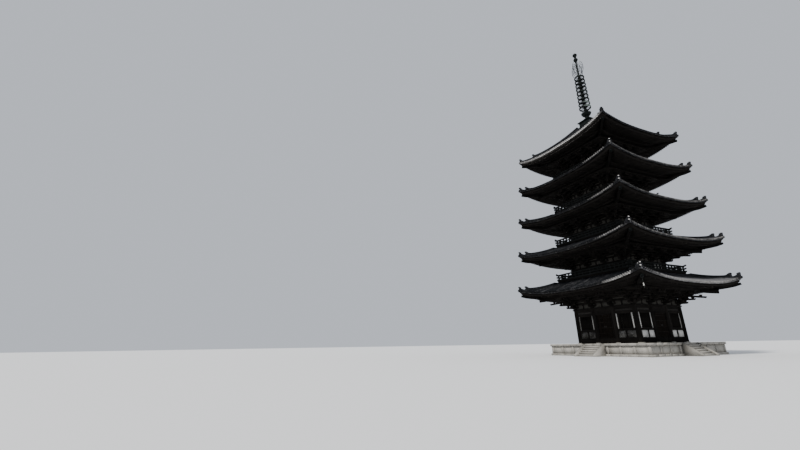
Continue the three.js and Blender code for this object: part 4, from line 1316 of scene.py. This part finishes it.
def upper_walls(storey):
    """An upper storey's timber: columns, beams, the frames of windows, and the closed plank doors."""
    wall, bay, radius = storey.wall_half, storey.bay_half, storey.column_radius
    low, high, sill, lintel = storey.floor_level, storey.head_level, storey.sill, storey.lintel
    parts = [uprights([-wall, -bay, bay], -wall, storey.wall_foot, high, circle(radius, 20))]
    rows = ((low - 0.02, sill, 0.28), (lintel, lintel + 0.16, 0.26), (high - 0.2, high, 0.3))
    for x0, x1 in bay_spans(storey):
        parts += wall_beams(x0 - 0.05, x1 + 0.05, wall, rows, 0.01)
    reach = storey.window_half + 0.035
    for middle in (-storey.window_at, storey.window_at):
        parts.append(uprights([middle - reach, middle + reach], -wall, sill, lintel, rectangle(0.08, 0.2)))
    door_half = bay - radius - 0.02
    count = 6
    width = 2 * door_half / count
    x = -door_half + (np.arange(count) + 0.5) * width
    parts.append(uprights(x, -wall - 0.02, sill, lintel, chamfered(width - 0.006, 0.06, 0.008)))
    parts.append(uprights([-door_half, door_half], -wall - 0.04, sill, lintel, rectangle(0.12, 0.16)))
    for level in (sill + 0.12, (sill + lintel) / 2, lintel - 0.12):
        parts.append(beam(-door_half, door_half, wall + 0.055, level, chamfered(0.02, 0.1, 0.005)))
    return all_round(*parts)


def upper_plaster(storey):
    """Plaster beside the windows and above the lintels, and apart from it the floor and the walls' foot."""
    wall, low, face = storey.wall_half, storey.floor_level, storey.plaster_face
    inner, reach = storey.window_half + 0.03, (wall - storey.bay_half) / 2
    parts = [slab((-wall, wall), face, (storey.lintel + 0.14, storey.head_level - 0.18))]
    for middle in (-storey.window_at, storey.window_at):
        for span in ((middle - reach, middle - inner), (middle + inner, middle + reach)):
            parts.append(slab(span, face, (storey.sill, storey.lintel)))
    floor = square_tube(0.5, wall - 0.05, low - 0.14, low)
    foot = square_tube(wall - PLASTER_HALF, wall + PLASTER_HALF, storey.wall_foot, low)
    return all_round(*parts), join([floor, foot])


def limed_panel(storey):
    """A pale board fixed behind the rails of the east gallery, beside its middle."""
    low, line = storey.floor_level + 0.2, storey.wall_half + RAIL_REACH
    return quarter(slab((-0.6, 1.05), (-line + 0.08, -line + 0.12), (low, low + 0.52), tone=0.1), 1)


# Galleries


def deck(storey):
    """Boards laid outward on edge beams and joists, a closed base, and a skirt that meets the tiles below.

    The boards end at the corners' diagonals. The skirt's foot follows the roof's level, 4 cm above it.
    """
    wall, level = storey.wall_half, storey.floor_level
    inner, reach = wall + 0.24, wall + DECK_REACH
    roof = STOREYS[storey.index - 1]

    def laid_outward(x, begin, end, below, section):
        start = np.stack([x, -begin, np.full(len(x), level - below)], 1)
        return bars(start, np.stack([x, np.full(len(x), -end), start[:, 2]], 1), section)

    def on_tiles(half):
        return half, lambda t: np.minimum(roof.tile_level(half, t) + 0.04, level - 0.2)

    count = int(2 * reach / 0.2)
    width = 2 * reach / count
    s = (np.arange(count) + 0.5) * width - reach
    begin = np.maximum(inner, np.abs(s) - width / 2)
    boards = laid_outward(s, begin, reach, 0.025, rectangle(width - 0.008, 0.05))
    beam_ends, beams_at = np.array([reach - 0.02, reach - 0.1]), [reach - 0.1, inner + 0.6]
    beams = beam(-beam_ends, beam_ends, np.array(beams_at), level - 0.115, rectangle(0.18, 0.13))
    joists_at = np.linspace(-reach + 0.4, reach - 0.4, 17)
    joists = laid_outward(joists_at, np.full(17, inner), reach - 0.12, 0.1, rectangle(0.12, 0.1))
    base = square_tube(wall + 0.25, wall + 1.22, storey.wall_foot + 0.01, level - 0.06)
    skirt_top = level_at(level - 0.12)
    skirt = square_ring([
        on_tiles(reach - 0.2), on_tiles(reach - 0.08), (reach - 0.08, skirt_top), (reach - 0.2, skirt_top),
    ], EAVE_STATIONS)
    return join([all_round(boards, beams, joists), base, skirt])


def railing(storey):
    """Bottom, middle and top rails on two tiers of posts, with a block under the top rail at each.

    The rails cross at the corners. Past the crossing a rail's end rises with the square of the way along it.
    """
    wall, level = storey.wall_half, storey.floor_level
    line = wall + RAIL_REACH

    def rail(height, reach, section, sweep):
        x = np.concatenate([-np.linspace(reach, line, 6), np.linspace(line, reach, 6)])
        past = ramp(np.abs(x), line - 0.1, reach - line + 0.1)
        paths = np.stack([x, np.full(12, -line), level + height + sweep * past**2], -1)
        return carry(paths, section, tone=0.6)

    rails = [
        rail(0.11, wall + 1.85, rectangle(0.2, 0.2), 0.0),
        rail(0.47, wall + 1.9, rectangle(0.15, 0.16), 0.04),
        rail(0.84, wall + 1.95, circle(0.105, 10), 0.1),
    ]
    x = np.linspace(-line, line, 19)[:-1]
    posts = uprights(x, -line, level, level + 0.44, rectangle(0.16, 0.16))
    upper_posts = uprights(x, -line, level + 0.44, level + 0.68, rectangle(0.13, 0.13))
    caps_at = np.stack([x, np.full(len(x), -line), np.full(len(x), level + 0.66)], 1)
    return all_round(*rails, posts, upper_posts, blocks(caps_at, 0.22, 0.12))


# Podium

# How far plinth and cap stand out, the paving's joints, and the flights' gap to the cap, steps and run
CAP_OVERHANG, PAVING_JOINT = 0.12, 0.005
STAIR_GAP, STEP_COUNT, STEP_RUN = 0.0006, 5, 0.33


def podium_stones():
    """Dressed stones: plinth, posts with slabs between them, a cap course, and paving laid in courses."""
    half, top = PODIUM_HALF, PODIUM_TOP
    core = slab((-half + 0.25, half - 0.25), (-half + 0.25, half - 0.25), (0.01, top - 0.02))

    def course(depth, levels, bevel):
        """Stones along the south edge, up to the east edge's first stone, which holds the corner."""
        edges = np.linspace(-half - CAP_OVERHANG, half - depth, 13)
        across = (-half - CAP_OVERHANG, -half + depth)
        return slab((edges[:-1] + 0.004, edges[1:] - 0.004), across, levels, bevel)

    posts_at, between = np.linspace(-half + 0.16, half - 0.16, 9), (0.25, top - 0.27)
    posts = slab((posts_at[:-1] - 0.16, posts_at[:-1] + 0.16), (-half, -half + 0.32), between)
    slabs = slab((posts_at[:-1] + 0.164, posts_at[1:] - 0.164), (-half + 0.06, -half + 0.3), between)
    plinth, cap = course(0.3, (0.0, 0.26), 0.02), course(0.32, (top - 0.28, top), 0.015)
    lines = np.linspace(-half + 0.33, half - 0.33, 17)
    low, high = lines[:-1] + PAVING_JOINT, lines[1:] - PAVING_JOINT
    x0, y0 = (places.ravel() for places in np.meshgrid(low, low))
    x1, y1 = (places.ravel() for places in np.meshgrid(high, high))
    paving = slab((x0, x1), (y0, y1), (top - 0.1, top - 0.002), 0.008)
    return join([core, all_round(plinth, cap, posts, slabs), paving])


def stair_stones():
    """One flight: treads as single stones with a slight nosing, between sloped cheek stones."""
    rise = PODIUM_TOP / (STEP_COUNT + 1)
    back = PODIUM_HALF + CAP_OVERHANG + STAIR_GAP
    front = back + STEP_COUNT * STEP_RUN
    parts = []
    for step in range(STEP_COUNT):
        nose = front - step * STEP_RUN
        parts.append(slab((-1.24, 1.24), (-nose, -back), (step * rise, (step + 1) * rise), 0.012))
    cheek = [(back, 0.0), (front + 0.25, 0.0), (front + 0.25, 0.22), (front + 0.05, 0.32), (back, PODIUM_TOP)]
    parts.append(plates(cheek, [-1.42, 1.42], 0.355))
    return join(parts)


# Finial

BASIN_TOP = FINIAL_FOOT + 0.95
LOTUS_TOP = BASIN_TOP + 1.6
RING_COUNT, RING_LOW, RING_HIGH = 9, 38.83, 44.83
FLAME_LOW, FLAME_HIGH, FLAME_REACH = 45.3, 48.05, 1.13


def basin():
    """The square dew basin with its mouldings and sunk panels."""
    outline = [
        (1.03, 0.0), (1.03, 0.1), (0.97, 0.13), (0.93, 0.17), (0.93, 0.73), (0.98, 0.77),
        (1.04, 0.79), (1.04, 0.82), (1.12, 0.84), (1.12, 0.95), (0.4, 0.95), (0.4, 0.0),
    ]
    shell = square_loop([(half, FINIAL_FOOT + level) for half, level in outline])
    frames = []
    for low, high in ((0.2, 0.25), (0.65, 0.7)):
        frames.append(beam(-0.88, 0.88, 0.935, FINIAL_FOOT + (low + high) / 2, rectangle(0.03, high - low)))
    posts_at = [-0.88, -0.3, 0.3, 0.88]
    frames.append(uprights(posts_at, -0.935, FINIAL_FOOT + 0.2, FINIAL_FOOT + 0.7, rectangle(0.05, 0.03)))
    lid = slab((-0.5, 0.5), (-0.5, 0.5), (BASIN_TOP - 0.08, BASIN_TOP - 0.01))
    return join([shell, all_round(*frames), lid])


def bowl():
    """The upturned bowl and the lotus above it: a body of revolution and a ring of twelve petals.

    The bowl is a quarter of an ellipse, turned. The lotus widens with the 1.5th power of its height, and a
    petal rises with that power of the way along it, as wide as a sine wave is high.
    """
    foot = BASIN_TOP
    t = np.linspace(0, 1, 9)
    turn = t * math.pi / 2
    outline = [
        (0.0, 0.0), (0.76, 0.0), (0.76, 0.05),
        *zip(0.3 + 0.44 * np.cos(turn), 0.05 + 0.5 * np.sin(turn)),
        (0.26, 0.6), (0.34, 0.66), (0.26, 0.72), (0.24, 0.95),
        *zip(0.26 + 0.46 * t**1.5, 1.0 + 0.52 * t),
        (0.68, 1.54), (0.3, 1.5), (0.0, 1.5),
    ]
    outline = [(out, foot + up) for out, up in outline]
    v = np.linspace(0, 1, 7)
    radius, level = 0.3 + 0.49 * v**0.9, foot + 0.98 + 0.6 * v**1.5
    width = 0.2 * np.sin(np.clip(v * 2.6 + 0.25, 0, math.pi)) ** 0.7 + 0.01
    section = np.array([[-1, -0.03], [1, -0.03], [0.55, 0.1], [-0.55, 0.1]])
    angle = np.arange(12)[:, None] / 12 * 2 * math.pi
    paths = np.stack(np.broadcast_arrays(radius * np.cos(angle), radius * np.sin(angle), level), -1)
    return join([turned(outline, 40), carry(paths, section, UP, np.broadcast_to(width, (12, 7)), 0.5)])


def rings():
    """The shaft and its nine rings, smaller upward, each with a sleeve, eight curved spokes and a hoop.

    A spoke bends aside by a half wave of 0.18 radians. A hoop's painted sunlight is palest at 20 degrees
    south of east, and falls with the cosine of the angle from there; the two lowest hoops get the most.
    """
    shaft = [(0.0, LOTUS_TOP - 0.05), (0.23, LOTUS_TOP - 0.05), (0.19, FLAME_LOW), (0.0, FLAME_LOW)]
    parts = [turned(shaft, 20, tone=-0.5)]
    angle = np.arange(48) / 48 * 2 * math.pi
    loop = np.stack([np.cos(angle), np.sin(angle), 0 * angle], 1)
    sunny = np.clip(np.cos(angle + math.radians(20)) - 0.5, 0, 1)
    v = np.linspace(0, 1, 5)
    for index in range(RING_COUNT):
        share = index / (RING_COUNT - 1)
        level = RING_LOW + (RING_HIGH - RING_LOW) * share
        radius = 0.915 - 0.12 * share
        inner = radius - 0.16
        section = np.array([
            (inner, -0.1), (radius - 0.04, -0.12), (radius - 0.005, -0.09), (radius, 0.0),
            (radius - 0.005, 0.09), (radius - 0.04, 0.12), (inner, 0.1),
        ])
        points = section[:, 0, None] * loop[:, None] + (level + section[:, 1, None]) * UP
        tone = sunny * (1.4 if index < 2 else 0.3) - 0.5
        hoop = skin(points[None], points[None], [0.5], closed=True)
        parts.append(replace(hoop, tone=np.repeat(tone, len(section))))
        sleeve = [(0.18, -0.16), (0.235, -0.12), (0.25, 0.0), (0.235, 0.12), (0.18, 0.16)]
        parts.append(turned([(out, level + up) for out, up in sleeve], 20, tone=-0.5))
        turn = np.arange(8) / 8 * 2 * math.pi + index * 0.13
        reach = 0.22 + (inner - 0.2) * v
        bend = turn[:, None] + 0.18 * np.sin(v * math.pi)
        paths = np.stack([reach * np.cos(bend), reach * np.sin(bend), np.full_like(bend, level)], -1)
        parts.append(carry(paths, rectangle(0.045, 0.07), tone=-0.5))
    return join(parts)


def flames():
    """Four openwork fins of water flames: an outer tongue, inner scrolls and small tips, each a flat bar.

    A bar runs through its (out, up) points, shares of the fin's reach and height. It is smoothed three times,
    each time half of the way to its neighbours' mean, and thins to its tip by the root of one less the way's
    cube.
    """
    low, tall = FLAME_LOW, FLAME_HIGH - FLAME_LOW

    def tongue(points, width):
        samples = 18
        numbers = np.arange(len(points))
        at = np.linspace(0, numbers[-1], samples)
        out, up = (np.interp(at, numbers, values) for values in zip(*points))
        for line in (out, up):
            for _ in range(3):
                line[1:-1] = np.convolve(line, [0.25, 0.5, 0.25], "valid")
        path = out[:, None] * FLAME_REACH * OUT + (low + up * tall)[:, None] * UP
        v = np.linspace(0, 1, samples)
        thick = 0.8 * width * np.sqrt(np.clip(1 - v**3, 0.02, 1))
        size = np.stack([np.ones(samples), thick], -1)[None, :, None]
        return carry(path, rectangle(0.045, 1.0), ALONG, size, 0.5)

    fin = join([tongue(points, width) for width, *points in (
        (0.075, (0.12, 0.02), (0.55, 0.0), (0.9, 0.16), (1.0, 0.4), (0.97, 0.66), (0.8, 0.86), (0.52, 0.98)),
        (0.05, (0.12, 0.1), (0.45, 0.1), (0.72, 0.24), (0.76, 0.44), (0.6, 0.56), (0.46, 0.48), (0.5, 0.38)),
        (0.05, (0.14, 0.5), (0.34, 0.58), (0.6, 0.68), (0.66, 0.8), (0.5, 0.88), (0.38, 0.8)),
        (0.045, (0.12, 0.3), (0.28, 0.32), (0.32, 0.42), (0.22, 0.48)),
        (0.05, (0.14, 0.66), (0.24, 0.78), (0.28, 0.92), (0.2, 1.0)),
        (0.045, (0.98, 0.3), (0.84, 0.38), (0.8, 0.5), (0.88, 0.56)),
        (0.04, (0.94, 0.62), (0.8, 0.6), (0.72, 0.68)),
    )])
    shaft = [
        (0.0, low - 0.04), (0.18, low - 0.04), (0.2, low + 0.06), (0.16, low + 0.14), (0.11, FLAME_HIGH),
        (0.11, FLAME_HIGH + 0.15), (0.0, FLAME_HIGH + 0.15),
    ]
    return join([all_round(fin), turned(shaft, 16)])


def jewels():
    """The ball and the pointed jewel on their lotus collars.

    The ball is a spheroid, cut off where its radius is 0.14 of the widest, and so is the jewel's lower part.
    """
    low = FLAME_HIGH + 0.05
    share = np.linspace(-1, 1, 13)
    radii = 0.36 * np.sqrt(np.maximum(1 - share**2, 0.02))
    ball = zip(radii, 48.67 + 0.34 * share)
    gem = [*zip(radii[:10], 49.66 + 0.34 * share)]
    gem += [(0.2, 49.94), (0.11, 50.0), (0.04, 50.05), (0.0, FINIAL_TOP)]
    collar = [(0.0, low), (0.12, low), (0.12, low + 0.1), (0.2, low + 0.15), (0.12, low + 0.22)]
    neck = [(0.1, 49.02), (0.1, 49.12), (0.19, 49.18), (0.1, 49.26)]
    return turned([*collar, *ball, *neck, *gem], 32)


# Building the pieces

for storey in STOREYS:
    name = storey.name
    tiles = sides_of(lambda side: tile_field(storey, side))
    make_piece(f"{name}_tiles", tiles, clay_tile, nodes=[f"{name}_roof"], smooth=35)
    ridge_tiles, ridge_marks = ridges(storey)
    make_piece(f"{name}_eave_tiles", join([eave_ends(storey), ridge_marks]), end_tile, smooth=40)
    make_piece(f"{name}_ridges", ridge_tiles, clay_tile, smooth=30)
    make_piece(f"{name}_soffit", soffit(storey), aged_timber_level, nodes=[f"{name}_eaves"])
    make_piece(f"{name}_rafters", all_round(rafters(storey), hip_rafter(storey)), aged_timber)
    make_piece(f"{name}_edge_beams", edge_beams(storey), aged_timber_level)
    make_piece(f"{name}_eave_face", eave_face(storey), end_board)
    make_piece(f"{name}_hip_shoes", all_round(hip_shoes(storey)), dark_bronze)
    brackets = bracket_timber(storey)
    make_piece(f"{name}_bracket_timber", brackets, aged_timber, nodes=[f"{name}_brackets"])
    make_piece(f"{name}_bracket_plaster", bracket_plaster(storey), stained_plaster_in_painted_shade)
    if storey.ground:
        continue
    plaster, floor = upper_plaster(storey)
    walls = upper_walls(storey)
    make_piece(f"{name}_wall_timber", walls, aged_timber, nodes=[f"{name}_walls"], smooth=30)
    make_piece(f"{name}_wall_plaster", plaster, stained_plaster_in_painted_shade)
    make_piece(f"{name}_floor", floor, aged_timber_level)
    make_piece(f"{name}_window_bars", window_bars(storey), aged_timber)
    make_piece(f"{name}_deck", deck(storey), aged_timber, nodes=[f"{name}_gallery"])
    make_piece(f"{name}_railing", railing(storey), rail_timber, smooth=30)

make_piece("storey2_limed_panel", limed_panel(STOREYS[1]), lime_plaster)
make_piece("wind_bell", wind_bell(STOREYS[0]), bell_metal, smooth=40)

wall_nodes = [f"{side}_wall_{hand}" for side in SIDES for hand in ("left", "right")]
wall_timber, column_feet = ground_walls()
make_piece("ground_wall_timber", wall_timber, aged_timber, nodes=wall_nodes, smooth=30)
make_piece("ground_column_stones", column_feet, granite, smooth=30)
make_piece("ground_wall_plaster", ground_plaster(), lime_plaster)
make_piece("ground_window_bars", window_bars(STOREYS[0]), aged_timber)
make_piece("doorway_trim", doorway_trim(), aged_timber)
for turns, side in enumerate(SIDES):
    for hand, sign in (("left", -1), ("right", 1)):
        node = f"{side}_door_{hand}"
        planks, studs = quarter(door_leaf(sign), turns), quarter(door_studs(sign), turns)
        make_piece(f"{node}_planks", planks, door_timber, node, nodes=[node], smooth=30)
        make_piece(f"{node}_studs", studs, forged_iron, node, smooth=50)
    stair = quarter(stair_stones(), turns)
    make_piece(f"{side}_stair_stones", stair, granite, nodes=[f"{side}_stair"])

make_piece("podium_stones", podium_stones(), granite, nodes=["podium"])
make_piece("finial_basin_cast", basin(), dark_bronze, nodes=["finial_basin"], smooth=30)
make_piece("finial_lotus_cast", bowl(), dark_bronze, nodes=["finial_bowl"], smooth=40)
make_piece("finial_rings_cast", rings(), ring_bronze, nodes=["finial_rings"], smooth=40)
make_piece("finial_flames", flames(), dark_bronze, nodes=["finial_crown"], smooth=40)
make_piece("finial_jewels", jewels(), dark_bronze, smooth=50)

# Finishes of the nodes that are shown as the source gives them
CAD_FINISHES = {"central_pillar": aged_timber_upright, "ground_floor": aged_timber_level}
CAD_FINISHES.update({f"{side}_doorway": aged_timber_upright for side in SIDES})
for node, finish in CAD_FINISHES.items():
    for material_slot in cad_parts[node].material_slots:
        material_slot.material = finish


# Stage, light and camera

# The camera's place and aim, in metres of the model, as solved from the photograph's vanishing lines
CAMERA_PLACE = Vector((17.844, -24.999, 0.798))
CAMERA_HEADING = Vector((-0.9136, 0.4067, 0.0))
CAMERA_TILT, CAMERA_ROLL, LENS = math.radians(18.06), math.radians(-0.91), 16.70


def make_floor():
    """A pale round floor just under the podium, so wide that its edge lies at the horizon."""
    radius, corners, level = 900, 96, -0.002
    angle = np.arange(corners) / corners * 2 * math.pi
    points = np.stack([radius * np.cos(angle), radius * np.sin(angle), np.full(corners, level)], 1)
    mesh = bpy.data.meshes.new("stage_floor")
    mesh.from_pydata(points.tolist(), [], [list(range(corners))])
    material = bpy.data.materials.new("stage_floor")
    material.use_nodes = True
    shader = material.node_tree.nodes["Principled BSDF"]
    shader.inputs["Base Color"].default_value = (0.78, 0.79, 0.8, 1)
    shader.inputs["Roughness"].default_value = 0.9
    mesh.materials.append(material)
    floor = bpy.data.objects.new("stage_floor", mesh)
    bpy.context.scene.collection.objects.link(floor)


def make_light():
    """A pale sky, and a soft sun high in the south."""
    world = bpy.data.worlds.new("studio")
    world.use_nodes = True
    background = world.node_tree.nodes["Background"]
    background.inputs["Color"].default_value = (0.86, 0.91, 1.0, 1)
    background.inputs["Strength"].default_value = 0.7
    bpy.context.scene.world = world
    lamp = bpy.data.lights.new("key", "SUN")
    lamp.energy = 3.6
    lamp.angle = math.radians(8)
    lamp.color = (1.0, 0.96, 0.9)
    key = bpy.data.objects.new("key", lamp)
    key.rotation_euler = Vector((-0.25, 0.8, -1.0)).to_track_quat("-Z", "Y").to_euler()
    bpy.context.scene.collection.objects.link(key)


def make_camera():
    """The camera: it looks along its heading, tilted up, and is rolled about that line."""
    data = bpy.data.cameras.new("camera")
    data.lens = LENS
    data.sensor_width = 36.0
    data.clip_start, data.clip_end = 0.1, 3000.0
    heading, upright = CAMERA_HEADING.normalized(), Vector((0, 0, 1))
    forward = heading * math.cos(CAMERA_TILT) + upright * math.sin(CAMERA_TILT)
    level_right = heading.cross(upright)
    level_up = level_right.cross(forward)
    right = level_right * math.cos(CAMERA_ROLL) + level_up * math.sin(CAMERA_ROLL)
    up = level_up * math.cos(CAMERA_ROLL) - level_right * math.sin(CAMERA_ROLL)
    turn = Matrix((right, up, -forward)).transposed()
    camera = bpy.data.objects.new("camera", data)
    camera.matrix_world = Matrix.Translation(CAMERA_PLACE) @ turn.to_4x4()
    bpy.context.scene.collection.objects.link(camera)
    bpy.context.scene.camera = camera


make_floor()
make_light()
make_camera()
